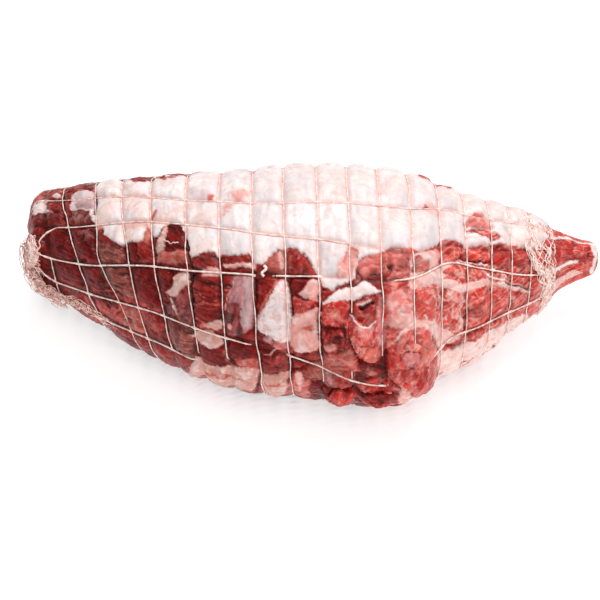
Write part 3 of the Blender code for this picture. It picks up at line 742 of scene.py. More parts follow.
class Skin:
    """Colour and height being painted on a set of surface places, with what the grain needs to know."""

    LAYERS = ("colour", "fat", "marble", "mottle", "height", "fibre")

    def __init__(self, x, angle, point, normal):
        self.x = x
        self.angle = wrapped(angle)
        self.point = point
        self.radius = local_radius(x, angle)
        self.colour = np.zeros(x.shape + (3,))
        for name in self.LAYERS[1:]:
            setattr(self, name, np.zeros(x.shape))
        self.edge_noise = layered(point / 4.5, 11, 3) - 0.5
        across, down, to_camera = in_picture(point + 2 * normal)
        self.across = across + ragged(point, 13)
        self.down = down + ragged(point, 15)
        facing = (normal * to_camera).sum(-1) / np.linalg.norm(to_camera, axis=-1)
        self.faces_camera = ramp(facing, 0.0, 0.06)

    def tint(self, colour, weight):
        """Mix a colour in."""
        self.colour += (np.array(colour, float) - self.colour) * weight[..., None]

    def brighten(self, factor):
        self.colour *= factor[..., None]

    def paint(self, kind, weight):
        """Lay a kind over what is there, in all but its height."""
        colour, fat, marble, mottle, _, fibre = KINDS[kind]
        self.tint(colour, weight)
        self.fat += (fat - self.fat) * weight
        self.marble += (marble - self.marble) * weight
        self.mottle += (mottle - self.mottle) * weight
        self.fibre = np.where(weight > 0.5, fibre, self.fibre)

    def near(self, corners, reach):
        """The places that face the camera and lie in the picture within reach of the corners."""
        low = corners.min(0) - reach
        high = corners.max(0) + reach
        inside = (self.across > low[0]) & (self.across < high[0])
        inside &= (self.down > low[1]) & (self.down < high[1]) & (self.faces_camera > 0)
        return np.nonzero(inside)

    def part(self, where):
        """The paint of some of the places, to be changed alone and then put back."""
        part = object.__new__(Skin)
        for name in self.LAYERS:
            setattr(part, name, getattr(self, name)[where])
        return part

    def put_back(self, where, part):
        for name in self.LAYERS:
            getattr(self, name)[where] = getattr(part, name)


def paint_area(surface, kind, corners, softness=None):
    """Paint inside an outline; unless it is to be soft, raise it, sink its rim and paint shade along that rim
    as well.
    """
    outline = rounded(corners, True)
    where = surface.near(outline, 4)
    if not len(where[0]):
        return
    out = distance_to(surface.across[where], surface.down[where], outline, True)
    faces = surface.faces_camera[where]
    part = surface.part(where)
    stand = KINDS[kind][4]
    meat_on_meat = 1 - np.abs(part.fat - KINDS[kind][1])
    blur = softness or 0.7 + 1.5 * meat_on_meat ** 2
    part.paint(kind, ramp(out, blur, -blur) * faces)
    if softness is None:
        part.height += stand * (0.6 * ramp(out, 0.5, -3.0) + 0.5 * ramp(out, 0.0, -9.0)) * faces
        patchy = ramp(surface.edge_noise[where], -0.12, 0.1)
        # painted shade: a patchy dark rim where a meat area meets its neighbour, in the crease that sinks
        # there
        rim = np.exp(-(out / RIM_WIDTH) ** 2) * faces * patchy * (1 - KINDS[kind][1])
        part.brighten(1 - RIM_SHADE * rim)
        part.height -= RIM_DEPTH * rim
    surface.put_back(where, part)


def paint_mark(surface, kind, width, points):
    """Paint a line of some width in pixels, which stands out or lies deeper as its kind says."""
    line = rounded(points, False)
    where = surface.near(line, width + 3)
    if not len(where[0]):
        return
    out = distance_to(surface.across[where], surface.down[where], line, False)
    faces = surface.faces_camera[where]
    part = surface.part(where)
    weight = ramp(out, width * 0.5 + 0.8, max(width * 0.5 - 0.6, 0)) * faces
    # grooves are painted shade, laid at three quarters strength
    part.paint(kind, weight * (0.75 if kind == "groove" else 1.0))
    part.height += KINDS[kind][4] * np.exp(-(out / (width * 0.8)) ** 2) * faces
    surface.put_back(where, part)


def paint_muscle(surface):
    """Dark meat on the left and underneath, redder marbled meat on the right."""
    tone = layered(surface.point / 21, 3, 4)
    right = ramp(surface.x + 22 * (tone - 0.5), 36, 52)
    surface.paint("darkred", np.ones_like(tone))
    surface.paint("maroon", ramp(tone, 0.5, 0.62))
    surface.paint("red", ramp(tone, 0.46, 0.36))
    surface.paint("beef", right)
    surface.paint("rosy", right * ramp(layered(surface.point / 11, 29, 3), 0.5, 0.62) * 0.5)


def paint_fat_cap(surface):
    """The fat over the top: where it ends, its grey parts, painted light towards its left end and painted
    shade over the rest, and more pink towards both its ends.
    """
    back = np.radians(np.interp(surface.x, CAP_BACK[:, 0], CAP_BACK[:, 1]))
    centred = np.where(surface.angle < -math.radians(90), surface.angle + 2 * math.pi, surface.angle)
    above_edge = np.interp(surface.across, CAP_EDGE[:, 0], CAP_EDGE[:, 1]) - surface.down
    inside_front = np.where(centred > math.radians(95), 30, above_edge * MM_PER_PIXEL)
    inside_back = (back - centred) * surface.radius + 14 * surface.edge_noise
    inside_left = surface.x - CAP_LEFT + 3 * surface.edge_noise
    inside_right = CAP_RIGHT - surface.x
    inside = np.minimum(np.minimum(inside_front, inside_back), np.minimum(inside_left, inside_right))
    cap = ramp(inside, -0.7, 0.7)
    surface.paint("fat", cap)
    surface.height += 1.1 * ramp(inside, -1.2, 2.5)
    surface.tint(CAP_GREY, 0.65 * ramp(layered(surface.point / 19, 41, 3), 0.47, 0.6) * cap)
    # painted light and shade: the cap is up to 3 % lighter towards its left end and 2.5 % darker from its
    # middle to its right end, standing in for how the light falls on it
    surface.brighten(1 + cap * (0.055 * ramp(surface.x, 0, -90) - 0.025))
    pinkness = ramp(surface.x, -40, -80) + 0.8 * ramp(surface.x, 70, 105) + 0.25
    streaks = ramp(layered(surface.point / np.array((13, 7, 7)), 57, 4), 0.47, 0.66)
    surface.tint(CAP_PINK, 0.7 * streaks * cap * pinkness)


def paint_by_photo(surface):
    """Everything that was read from the photograph, in order."""
    for kind, *corners in CAP_AREAS:
        paint_area(surface, kind, corners, 1.0 if KINDS[kind][1] < 0.6 else 3.0)
    for areas in (STUMP_AREAS, LEFT_AREAS, MIDDLE_AREAS, LOWER_AREAS, RIGHT_AREAS, LOBE_AREAS, SHANK_AREAS):
        for kind, *corners in areas:
            paint_area(surface, kind, corners)
    for kind, width, *points in MARKS:
        paint_mark(surface, kind, width, points)


def along_fibres(surface, long, short, seed):
    """Streaky noise that runs along the fibres of the meat."""
    turn = np.radians(surface.fibre)
    across = surface.angle * 70
    warp_a = 3.0 * (layered(surface.point / 9, 71, 2) - 0.5)
    warp_b = 4.0 * (layered(surface.point / 9, 72, 2) - 0.5)
    a = surface.x * np.cos(turn) + across * np.sin(turn) + warp_a
    b = -surface.x * np.sin(turn) + across * np.cos(turn) + warp_b
    return noise(np.stack((a / long, b / short, surface.fibre * 0.37), -1), seed)


def paint_meat_grain(surface, meat, bright, blotch, warp):
    """Fibres, marbling, films and dark cracks of the lean meat; gives back where the marbling is."""
    p = surface.point
    fibres = along_fibres(surface, 7.0, 1.1, 91) + 0.6 * along_fibres(surface, 3.0, 0.7, 95) - 0.8
    surface.brighten(1 + meat * ((0.6 - 0.3 * bright) * fibres + 0.5 * blotch))
    surface.tint(FIBRE_PINK, 0.28 * ramp(fibres, -0.05, 0.45) * bright * meat)
    lines = ramp(ridges(p / np.array((6.0, 5, 4.4)) + 1.7 * warp, 83, 3), 0.75, 0.9)
    threads = 0.7 * ramp(along_fibres(surface, 9.0, 1.5, 99), 0.68, 0.85)
    marbling = np.minimum(np.maximum(lines, threads) * surface.marble * meat, 1)
    surface.tint(MARBLING, 0.8 * marbling)
    film = ramp(layered(p / np.array((7.0, 3.0, 3.0)) + warp, 113, 3), 0.56, 0.72) * meat
    surface.tint(FILM, (0.05 + 0.22 * bright) * film)
    cracks = 0.5 * ramp(ridges(p / 7.0 + 1.3 * warp, 127, 2), 0.88, 0.98)
    dark = np.maximum(cracks, ramp(along_fibres(surface, 9.0, 1.8, 129), 0.7, 0.9)) * meat
    surface.brighten(1 - (0.42 - 0.2 * bright) * dark)
    surface.height += meat * (0.9 * blotch + 0.3 * fibres - 0.5 * dark + 0.25 * film)
    return marbling


def paint_mottle(surface, warp):
    """Red veins and pale spots, as strong as each kind's mottle."""
    red = ramp(ridges(surface.point / 5.5 + 1.5 * warp, 131, 3), 0.74, 0.93) * surface.mottle
    surface.tint(MOTTLE_RED, 0.55 * red)
    pale = ramp(layered(surface.point / 3.3 + warp, 133, 3), 0.54, 0.7) * surface.mottle
    surface.tint(MOTTLE_PALE, 0.55 * pale)
    surface.height += surface.mottle * (0.7 * pale - 0.4 * red)


def paint_fat_grain(surface, blotch, warp):
    """Folds, thin grey places and wisps of the fat."""
    p = surface.point
    folds = ramp(ridges(p / np.array((5.0, 10, 10)) + 1.2 * warp, 161, 3), 0.74, 0.93) * surface.fat
    surface.tint(FOLD, 0.35 * folds)
    sheer = ramp(layered(p / np.array((6.0, 12, 12)) + 0.8 * warp, 163, 4), 0.52, 0.6) * surface.fat
    surface.tint(SHEER, 0.35 * sheer)
    wisps = along_fibres(surface, 14.0, 2.2, 137) - 0.5
    surface.brighten(1 + surface.fat * (0.1 * wisps + 0.08 * blotch))
    surface.height += surface.fat * (layered(p / 9.0, 103, 3) - 0.5 + 0.4 * wisps - 0.35 * folds)


def paint_glints(surface, meat, bright):
    """Painted highlights: small wet glints on the meat."""
    wet = ramp(layered(surface.point / 11, 143, 2), 0.42, 0.56) * meat
    glints = ramp(along_fibres(surface, 2.4, 0.9, 141), 0.84, 0.95) * wet
    surface.tint(PAINTED_GLINT, (0.45 + 0.25 * bright) * glints)


def paint_grain(surface):
    """Fine detail over everything already painted."""
    warp = np.stack([layered(surface.point / 9, 71 + k, 2) for k in range(3)], -1)
    blotch = layered(surface.point / 5.0, 97, 3) - 0.5
    bright = ramp(surface.colour[..., 0], 110, 190)
    meat = 1 - surface.fat
    marbling = paint_meat_grain(surface, meat, bright, blotch, warp)
    paint_mottle(surface, warp)
    paint_fat_grain(surface, blotch, warp)
    paint_glints(surface, meat, bright)
    surface.fat = np.clip(surface.fat + 0.6 * marbling, 0, 1)


def paint_by_net(surface, to_hoop, to_strand):
    """The pillows between the yarns, and painted shade beside the yarns: pink lines on the fat and darker
    meat.
    """
    held = ramp(surface.x, 157, 150) * ramp(surface.radius, 4, 14)
    nearest = np.minimum(to_hoop, to_strand)
    top = np.maximum(0, np.sin(surface.angle - math.radians(10)))
    size = (PILLOW_HEIGHT + PILLOW_TOP * top) * (0.45 + layered(surface.point / 24, 151, 2))
    narrow = 1 - np.exp(-(nearest / PILLOW_START) ** 2)
    broad = (1 - np.exp(-(to_hoop / PILLOW_FULL) ** 2)) * (1 - np.exp(-(to_strand / PILLOW_FULL) ** 2))
    surface.height = surface.height * (0.25 + 0.75 * narrow)
    surface.height += held * (0.35 + size * (0.35 * narrow + 0.65 * broad)) + (1 - held) * 1.2
    # painted shade beside the yarn: pink on the fat, darker on the meat
    shade = np.exp(-(nearest / 1.2) ** 2) * held
    surface.tint(YARN_SHADE_PINK, 0.5 * shade * surface.fat)
    surface.brighten(1 - 0.3 * shade * (1 - surface.fat))


def store_paint(mesh, surface):
    """Keep the painted colour and fattiness on the mesh's points, for its material."""
    colour = mesh.color_attributes.new("tint", "FLOAT_COLOR", "POINT")
    values = np.ones((len(mesh.vertices), 4), np.float32)
    values[:, :3] = linear(np.clip(surface.colour, 0, 255)).reshape(-1, 3)
    colour.data.foreach_set("color", values.ravel())
    fat = mesh.attributes.new("fat", "FLOAT", "POINT")
    fat.data.foreach_set("value", surface.fat.astype(np.float32).ravel())


def mesh_object(name, points_mm, quads, ends=(), surface=None, smooth=True):
    """An object of quads, closed where it is open by end faces with any number of corners."""
    mesh = bpy.data.meshes.new(name)
    points = np.ascontiguousarray(points_mm.reshape(-1, 3) * MM, dtype=np.float32)
    corners = np.concatenate((quads.ravel(), *ends)).astype(np.int32)
    sizes = np.array([4] * len(quads) + [len(end) for end in ends], np.int32)
    mesh.vertices.add(len(points))
    mesh.vertices.foreach_set("co", points.ravel())
    mesh.loops.add(len(corners))
    mesh.loops.foreach_set("vertex_index", corners)
    mesh.polygons.add(len(sizes))
    mesh.polygons.foreach_set("loop_start", (np.cumsum(sizes) - sizes).astype(np.int32))
    mesh.polygons.foreach_set("loop_total", sizes)
    mesh.polygons.foreach_set("use_smooth", np.full(len(sizes), smooth))
    mesh.update(calc_edges=True)
    mesh.validate()
    if surface is not None:
        store_paint(mesh, surface)
    obj = bpy.data.objects.new(name, mesh)
    bpy.context.scene.collection.objects.link(obj)
    return obj


def grid_faces(rows, columns, closed=True):
    """Quads of a grid whose columns run round, with its rows from one end to the other."""
    r = np.arange(rows - 1)[:, None] * columns
    c = np.arange(columns if closed else columns - 1)[None, :]
    after = (c + 1) % columns
    return np.stack((r + c, r + after, r + columns + after, r + columns + c), -1).reshape(-1, 4)


def end_faces(rows, columns):
    """The first and the last ring of a grid as two faces, which look the same way as its quads."""
    ring = np.arange(columns)
    return [ring[::-1], ring + (rows - 1) * columns]


def body_rows():
    """Places of the skin's rings along the roast; the first and the last are just short of its tips."""
    turn = np.linspace(math.pi / 2 * 0.985, 0, 34)[:-1]
    stump = STUMP_X - STUMP_LENGTH * np.sin(turn) ** (2 / END_ROUNDNESS)
    middle = np.arange(STUMP_X, SHANK_X, RING_STEP)
    turn = np.linspace(0, math.pi / 2 * 0.97, 12)
    shank = SHANK_X + SHANK_LENGTH * np.sin(turn) ** (2 / END_ROUNDNESS)
    return np.concatenate((stump, middle, shank))


def body_columns():
    """Angles round the body, closest together on the side that the photograph shows."""
    sides = [np.linspace(*side, endpoint=False) for side in (SEEN_SIDE, UNSEEN_SIDE)]
    return np.radians(np.concatenate(sides))


def build_body():
    """The rolled meat, painted, with pillows between the yarns and channels for them underneath."""
    x, angle = np.meshgrid(body_rows(), body_columns(), indexing="ij")
    base = skin(x, angle)
    normal = outward(x, angle)
    surface = Skin(x, angle, base, normal)
    paint_muscle(surface)
    paint_fat_cap(surface)
    paint_by_photo(surface)
    paint_grain(surface)
    to_hoop, to_strand = net_distances(x, angle)
    paint_by_net(surface, to_hoop, to_strand)
    point = base + normal * surface.height[..., None]
    lowest = BELLY_CHANNEL * (1 - ramp(np.minimum(to_hoop, to_strand), 1.2, 4.0))
    point[..., 2] = np.maximum(point[..., 2], lowest)
    ends = [end[::-1] for end in end_faces(*x.shape)]
    return mesh_object("roast", point, grid_faces(*x.shape)[:, ::-1], ends, surface)


def frame_at(x, degrees):
    """A place on the body in mm with unit vectors along the roast, round it and outward."""
    angle = math.radians(degrees)
    here = skin(x, angle)
    along = skin(x + 2, angle) - skin(x - 2, angle)
    along /= np.linalg.norm(along)
    around = skin(x, angle + 0.03) - skin(x, angle - 0.03)
    out = np.cross(along, around)
    out /= np.linalg.norm(out)
    return here, along, np.cross(out, along), out


def on_axes(values, along, around, out):
    """Coordinates along three unit vectors, as points or directions of the roast."""
    return values[..., :1] * along + values[..., 1:2] * around + values[..., 2:] * out


def build_lobe(name, x, degrees, width, height, stand, kind):
    """An uneven egg of meat, sunk in the body so that its top stands out by stand mm."""
    here, *axes = frame_at(x, degrees)
    size = np.array((width, height, LOBE_DEPTH))
    turn = np.linspace(0.02, math.pi - 0.02, 90)
    way = np.linspace(0, 2 * math.pi, 140, endpoint=False)
    turn, way = np.meshgrid(turn, way, indexing="ij")
    unit = np.stack((np.sin(turn) * np.cos(way), np.sin(turn) * np.sin(way), np.cos(turn)), -1)
    seed = int(abs(x) * 7 + width)
    swell = 1 + 0.16 * (layered(unit * 1.4 + seed, seed, 3) - 0.5) * 2
    point = here + axes[2] * (stand - LOBE_DEPTH) + on_axes(unit * size * swell[..., None], *axes)
    normal = on_axes(unit / size, *axes)
    normal /= np.linalg.norm(normal, axis=-1, keepdims=True)
    middle_y, middle_z, deep, tall = (curve(point[..., 0], STATIONS[:, 0], column)
                                      for column in STATIONS[:, 1:].T)
    angle = np.arctan2((point[..., 2] - middle_z) / tall, (middle_y - point[..., 1]) / deep)
    surface = Skin(point[..., 0], angle, point, normal)
    surface.paint(kind, np.ones(turn.shape))
    paint_by_photo(surface)
    paint_grain(surface)
    point = point + normal * surface.height[..., None]
    point[..., 2] = np.maximum(point[..., 2], 0.3)
    return mesh_object("muscle_" + name, point, grid_faces(*turn.shape), end_faces(*turn.shape), surface)


def tube_mesh(paths):
    """Points, quads and end faces of round tubes; a path is (points in mm, radius in mm, closed)."""
    points = []
    quads = []
    ends = []
    first = 0
    turn = np.linspace(0, 2 * math.pi, YARN_SIDES, endpoint=False)[None, :, None]
    for path, radius, closed in paths:
        count = len(path)
        if closed:
            forward = np.roll(path, -1, 0) - np.roll(path, 1, 0)
        else:
            forward = np.gradient(path, axis=0)
            ends += [first + end for end in end_faces(count, YARN_SIDES)]
        forward /= np.linalg.norm(forward, axis=1, keepdims=True) + 1e-9
        helper = np.where(np.abs(forward[:, :1]) < 0.8, np.array([[1.0, 0, 0]]), np.array([[0, 0, 1.0]]))
        side = np.cross(forward, helper)
        side /= np.linalg.norm(side, axis=1, keepdims=True) + 1e-9
        up = np.cross(side, forward)
        ring = side[:, None, :] * np.cos(turn) + up[:, None, :] * np.sin(turn)
        radii = np.broadcast_to(radius, (count,))[:, None, None]
        points.append((path[:, None, :] + ring * radii).reshape(-1, 3))
        quads.append(first + grid_faces(count + closed, YARN_SIDES) % (count * YARN_SIDES))
        first += count * YARN_SIDES
    return np.concatenate(points), np.concatenate(quads), ends


def yarn_point(s, angle, lift, wiggle_seed):
    """Where the yarn lies: in its channel, with a little unevenness."""
    x = s + lean(s, angle)
    place = np.stack((s / 9, np.cos(angle) * 5, np.sin(angle) * 5), -1)
    x = x + 1.8 * (noise(place, wiggle_seed) - 0.5)
    point = above_skin(x, angle, lift)
    point[..., 2] = np.maximum(point[..., 2], YARN_LOWEST)
    return point


def sunk(lift, place, number, stretches, slope):
    """The lift of a yarn, lowered along the stretches of its way where it lies out of sight."""
    for yarn, first, last in stretches:
        if yarn == number:
            under = ramp(place, first - slope, first + slope) * ramp(place, last + 3, last - 3)
            lift = lift - SUNK_DEPTH * under
    return lift


def hoop_paths():
    """The hoops, all the way round or only where they show."""
    paths = []
    for k, s in enumerate(HOOPS):
        for first, last in HOOP_SPANS.get(k, ((0, 360),)):
            whole = last - first == 360
            angle = np.radians(np.linspace(first, last, max(20, last - first), endpoint=not whole))
            turns = np.stack((np.cos(angle) * 5, np.sin(angle) * 5, angle * 0 + k), -1)
            lift = HOOP_LIFT + 0.3 * (noise(turns, 5) - 0.5)
            lift = sunk(lift, np.degrees(wrapped(angle)), k, SUNK_HOOPS, 4)
            radius = HOOP_RADIUS + 0.22 * (noise(turns * np.array((7, 7, 1)), 6) - 0.5)
            paths.append((yarn_point(np.full_like(angle, s), angle, lift, 21), radius, whole))
    return paths


def strand_paths():
    """The lengthwise strands, a little thicker where a hoop is tied in."""
    paths = []
    s = np.concatenate((np.linspace(STUMP_TIP + 0.15, -180, 14)[:-1], np.linspace(-180, COLLAR_X + 2, 280)))
    to_hoop = np.min(np.abs(s[:, None] - HOOPS[None, :]), axis=1)
    for k, middle_radius in enumerate(STRAND_RADII):
        angle = gathered(k, s)
        x = s + lean(s, angle)
        lift = STRAND_LIFT + 0.3 * (noise(np.stack((s / 8, s * 0 + k, s * 0), -1), 8) - 0.5)
        if k in FRONT_STRANDS:
            lift = lift + 2.0 * ramp(x, -166, -174)
        lift = sunk(lift, x, k, SUNK_STRANDS, 3)
        radius = middle_radius + 0.25 * (noise(np.stack((s / 2, s * 0 + k, s * 0), -1), 9) - 0.5)
        radius = radius * (1 + 0.55 * np.exp(-(to_hoop / 1.5) ** 2))
        paths.append((yarn_point(s, angle, lift, 23), radius, False))
    return paths


def collar_paths():
    """Bunched loops where the net ends round the shank, spread widest over the top."""
    rng = np.random.default_rng(12)
    paths = []
    for k in range(COLLAR_LOOPS):
        angle = np.linspace(0, 2 * math.pi, 220, endpoint=False)
        spread = 6 + 16 * ramp(np.sin(angle - math.radians(15)), -0.1, 0.9)
        wave = 1.3 * np.sin(rng.integers(6, 26) * angle + rng.uniform(0, 6))
        around = np.stack((np.cos(angle) * 3, np.sin(angle) * 3, angle * 0 + k), -1)
        x = COLLAR_X + 3.5 - spread * rng.uniform(0, 1) ** 1.4 + wave + 3 * (noise(around, 31) - 0.5)
        lift = 0.7 + 3.0 * noise(around * np.array((1.6, 1.6, 2)), 33)
        x = x + lean(x, angle)
        paths.append((above_skin(x, angle, lift), rng.uniform(0.2, 0.42), True))
    return paths


def tail_place(t):
    """Where the net's loose end lies at a share of its length: x in mm and degrees."""
    return np.interp(t, TAIL[:, 0], TAIL[:, 1]), np.interp(t, TAIL[:, 0], TAIL[:, 2])


def frizz_paths():
    """Curly threads, thickest below the knot."""
    rng = np.random.default_rng(5)
    paths = []
    for _ in range(CURLS):
        start = rng.uniform(0, 1) ** 1.2 * 0.6
        t = np.linspace(start, min(1.0, start + rng.uniform(0.03, 0.12)), 36)
        x, degrees = tail_place(t)
        thick = np.interp(t, (0, 0.1, 0.3, 0.5, 1), (0.6, 1.3, 1.3, 0.7, 0.3))
        wave = rng.uniform(70, 190)
        phase = rng.uniform(0, 6, 3)
        degrees = degrees + thick * (rng.normal(0, 6) + rng.uniform(2, 5) * np.sin(wave * t + phase[0]))
        x = x + thick * (rng.normal(0, 2.4) + 1.6 * np.sin(1.3 * wave * t + phase[1]))
        x = np.maximum(x, STUMP_TIP + 0.2)
        angle = np.radians(degrees)
        lift = 1.4 + thick * (2.6 * rng.random() + 1.2 * np.sin(wave * t + phase[2]) + 1.0)
        point = above_skin(x, angle, lift)
        point[:, 2] = np.maximum(point[:, 2], 0.6)
        paths.append((point, rng.uniform(0.16, 0.34), False))
    return paths


def bunch_paths():
    """The drawn-up net under the curls: thin uneven cords side by side."""
    rng = np.random.default_rng(8)
    paths = []
    for k in range(CORDS):
        t = np.linspace(0.02, rng.uniform(0.8, 1.0), 190)
        x, degrees = tail_place(t)
        thick = np.interp(t, (0, 0.2, 0.5, 1), (0.8, 1.0, 0.6, 0.3))
        turn = 2.2 * (k - 2.5) + 1.6 * np.sin(17 * t + 2 * k) + 0.8 * np.sin(61 * t + 3 * k)
        x = np.maximum(x + thick * rng.normal(0, 1.8), STUMP_TIP + 0.3)
        lift = 1.6 + thick * (0.8 + 0.8 * np.sin(40 * t + 3 * k))
        radius = 0.2 + thick * 0.5 * noise(np.stack((t * 60, t * 0 + k, t * 0), -1), 51)
        angle = np.radians(degrees + turn)
        paths.append((above_skin(x, angle, lift), radius, False))
    return paths


def knot_paths():
    """The bunch where the strands meet, wound round itself over the stump."""
    rng = np.random.default_rng(3)
    centre = skin(STUMP_TIP + 0.1, 0.0) + np.array((-1.6, 0, 0))
    paths = []
    for _ in range(KNOT_LOOPS):
        t = np.linspace(0, 2 * math.pi * 1.2, 90)
        size = rng.uniform(1.5, 5)
        tilt = rng.uniform(0, 6)
        speed = rng.uniform(0.8, 1.2)
        offset = np.stack((
            1.4 * np.sin(2 * t + tilt) + rng.normal(0, 0.7),
            size * np.cos(t + tilt), size * np.sin(t * speed + tilt),
        ), -1)
        paths.append((centre + offset, rng.uniform(0.25, 0.5), False))
    return paths


def gather_paths():
    """The white cord that the front strands are drawn into, wound round itself."""
    rng = np.random.default_rng(17)
    paths = []
    for _ in range(GATHER_LOOPS):
        t = np.linspace(0, 2 * math.pi, 50)
        down = rng.uniform(-1, 1)
        x = -179.0 - 1.6 * down ** 2 + rng.normal(0, 0.6) + 1.0 * np.cos(t + rng.uniform(0, 6))
        angle = GATHER_ANGLE + 0.26 * down + 0.09 * np.sin(t + rng.uniform(0, 6))
        lift = 3.0 + 1.2 * rng.random() + 0.8 * np.sin(2 * t + rng.uniform(0, 6))
        paths.append((above_skin(x, angle, lift), rng.uniform(0.25, 0.5), False))
    return paths


def stray_paths():
    """Two loose threads on the front: a small S and a wavy end."""
    t = np.linspace(0, 1, 60)
    s_x = -29 + 1.3 * np.sin(2 * math.pi * t)
    s_angle = np.radians(49 - 5 * t)
    wavy_x = -91 + 10 * t
    wavy_angle = np.radians(57 + 0.6 * np.sin(9 * t) + 0.3 * np.sin(21 * t))
    paths = []
    for x, angle, radius in ((s_x, s_angle, 0.85), (wavy_x, wavy_angle, 0.3)):
        paths.append((above_skin(x, angle, np.full_like(x, 3.0)), radius, False))
    return paths


def new_material(name):
    material = bpy.data.materials.new(name)
    material.use_nodes = True
    return material, material.node_tree, material.node_tree.nodes["Principled BSDF"]


def set_inputs(node, values):
    """Set a node's sockets by name."""
    for name, value in values.items():
        node.inputs[name].default_value = value


def attribute_node(tree, name):
    node = tree.nodes.new("ShaderNodeAttribute")
    node.attribute_name = name
    return node


def noise_node(tree, scale, detail):
    """Noise fixed to the object, with scale spots to a metre."""
    place = tree.nodes.new("ShaderNodeTexCoord")
    node = tree.nodes.new("ShaderNodeTexNoise")
    set_inputs(node, {"Scale": scale, "Detail": detail})
    tree.links.new(place.outputs["Object"], node.inputs["Vector"])
    return node


def meat_material():
    """Wet meat in its painted colours, rougher where it is fat, with a fine grain."""
    material, tree, shader = new_material("wet_meat")
    tint = attribute_node(tree, "tint")
    fat = attribute_node(tree, "fat")
    fine = noise_node(tree, 900, 3)
    bump = tree.nodes.new("ShaderNodeBump")
    rough = tree.nodes.new("ShaderNodeMapRange")
    set_inputs(bump, {"Strength": 0.35, "Distance": 0.0006})
    set_inputs(rough, {"To Min": 0.32, "To Max": 0.48})
    set_inputs(shader, {
        "Subsurface Weight": 0.06, "Subsurface Radius": (1.0, 0.35, 0.25), "Subsurface Scale": 0.004,
        "Specular IOR Level": 0.1, "Coat Weight": 0.08, "Coat Roughness": 0.12,
    })
    tree.links.new(tint.outputs["Color"], shader.inputs["Base Color"])
    tree.links.new(fine.outputs["Fac"], bump.inputs["Height"])
    tree.links.new(bump.outputs["Normal"], shader.inputs["Normal"])
    tree.links.new(fat.outputs["Fac"], rough.inputs["Value"])
    tree.links.new(rough.outputs["Result"], shader.inputs["Roughness"])
    return material


def yarn_material(name, clean, stained):
    """Dull yarn with stained stretches, and a faint painted glow that lifts the shade in its bunches."""
    material, tree, shader = new_material(name)
    stain = noise_node(tree, 320, 2)
    colour = tree.nodes.new("ShaderNodeValToRGB")
    for stop, position, shade in zip(colour.color_ramp.elements, (0.42, 0.68), (clean, stained)):
        stop.position = position
        stop.color = (*linear(shade), 1)
    # a faint warm painted glow, lifting the shade inside the bunched yarn
    set_inputs(shader, {
        "Roughness": 0.75, "Emission Color": (1.0, 0.85, 0.78, 1), "Emission Strength": 0.06,
    })
    tree.links.new(stain.outputs["Fac"], colour.inputs["Fac"])
    tree.links.new(colour.outputs["Color"], shader.inputs["Base Color"])
    return material


def build_netting():
    """The stretched net, and its curled end at the stump, which the meat has stained."""
    stretched = hoop_paths() + strand_paths() + gather_paths() + stray_paths() + collar_paths()
    curled = knot_paths() + bunch_paths() + frizz_paths()
    pieces = []
    for name, paths, colours in (("net", stretched, NET_YARN), ("net_curls", curled, CURLED_YARN)):
        piece = mesh_object(name, *tube_mesh(paths))
        piece.data.materials.append(yarn_material(name + "_yarn", *colours))
        pieces.append(piece)
    return pieces


def floor_shade(x, y):
    """How much of the studio's light the roast keeps from the floor at a place in mm, from 0 to 1."""
    rings = np.arange(-184, 188, 4.0)
    underside = np.radians(np.arange(-140, 0, 5.0))
    low = skin(*np.meshgrid(rings, underside, indexing="ij")).reshape(-1, 3)
    nearest = np.full(x.shape, 1e3)
    for px, py, pz in low[low[:, 2] < 45]:
        nearest = np.minimum(nearest, np.hypot(x - px, y - py) + 0.4 * max(pz, 0))
    return np.exp(-nearest / SHADOW_REACH)


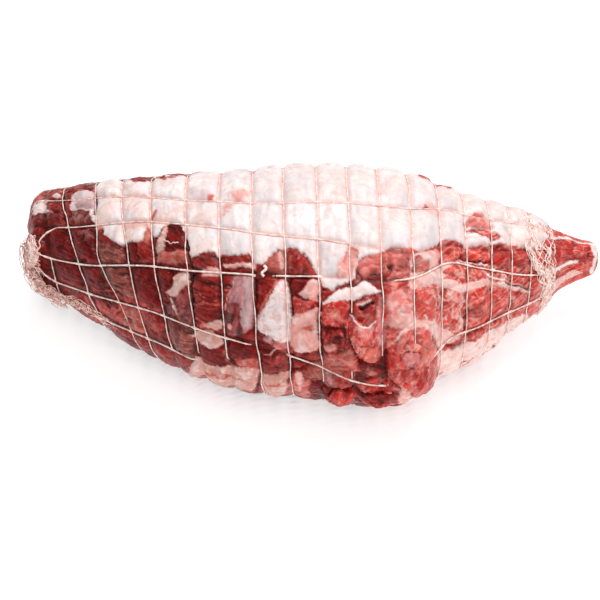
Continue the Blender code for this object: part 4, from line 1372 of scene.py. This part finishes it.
def build_floor():
    """A white table that glows, except for a painted contact shadow close to the roast: fine squares there,
    long ones to the edge.
    """
    far = np.array((4000.0, 2500, 1500))
    across = np.concatenate((-far, np.arange(-240, 240, 3.0), far[::-1]))
    deep = np.concatenate((-far, np.arange(-170, 170, 3.0), far[::-1]))
    x, y = np.meshgrid(across, deep, indexing="ij")
    points = np.stack((x, y, 0 * x), -1)
    floor = mesh_object("floor", points, grid_faces(*x.shape, closed=False), smooth=False)
    light = floor.data.attributes.new("light", "FLOAT", "POINT")
    # painted contact shadow: the glow is dimmed close to the roast
    light.data.foreach_set("value", (FLOOR_GLOW * (1 - floor_shade(x, y))).astype(np.float32).ravel())
    material, tree, shader = new_material("white_floor")
    glow = attribute_node(tree, "light")
    tree.links.new(glow.outputs["Fac"], shader.inputs["Emission Strength"])
    set_inputs(shader, {
        "Base Color": (FLOOR_GREY, FLOOR_GREY, FLOOR_GREY, 1), "Emission Color": (1, 1, 1, 1),
        "Roughness": 0.9, "Specular IOR Level": 0.1,
    })
    floor.data.materials.append(material)
    return floor


def softbox(name, place, size, watts):
    """A rectangular light that faces the roast."""
    light = bpy.data.lights.new(name, "AREA")
    light.shape = "RECTANGLE"
    light.size, light.size_y = size
    light.energy = watts
    obj = bpy.data.objects.new(name, light)
    obj.location = place
    obj.rotation_euler = (SOFTBOX_AIM - Vector(place)).to_track_quat("-Z", "Y").to_euler()
    bpy.context.scene.collection.objects.link(obj)


def build_light():
    """White light from all round, with two softboxes for the glints and the shadow."""
    world = bpy.data.worlds.new("studio")
    world.use_nodes = True
    set_inputs(world.node_tree.nodes["Background"], {"Color": (1, 1, 1, 1), "Strength": SKY_STRENGTH})
    bpy.context.scene.world = world
    for box in SOFTBOXES:
        softbox(*box)


def build_camera():
    """The photograph's view of the roast."""
    data = bpy.data.cameras.new("camera")
    data.sensor_width = SENSOR_MM
    data.lens = SENSOR_MM * FOCAL_PIXELS / PICTURE_SIDE
    data.clip_end = 20
    camera = bpy.data.objects.new("camera", data)
    camera.location = (TARGET_MM + CAMERA_BACK * MM_PER_PIXEL * FOCAL_PIXELS) * MM
    camera.rotation_euler = Vector(CAMERA_BACK).to_track_quat("Z", "Y").to_euler()
    bpy.context.scene.collection.objects.link(camera)
    bpy.context.scene.camera = camera


def main():
    wet_meat = meat_material()
    for piece in [build_body()] + [build_lobe(*lobe) for lobe in LOBES]:
        piece.data.materials.append(wet_meat)
        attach(piece, "root")
        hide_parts("meat")
    for piece in build_netting():
        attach(piece, "root")
        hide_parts("netting")
    build_floor()
    build_light()
    build_camera()
    view = bpy.context.scene.view_settings
    view.view_transform = "Standard"
    view.look = "None"


main()
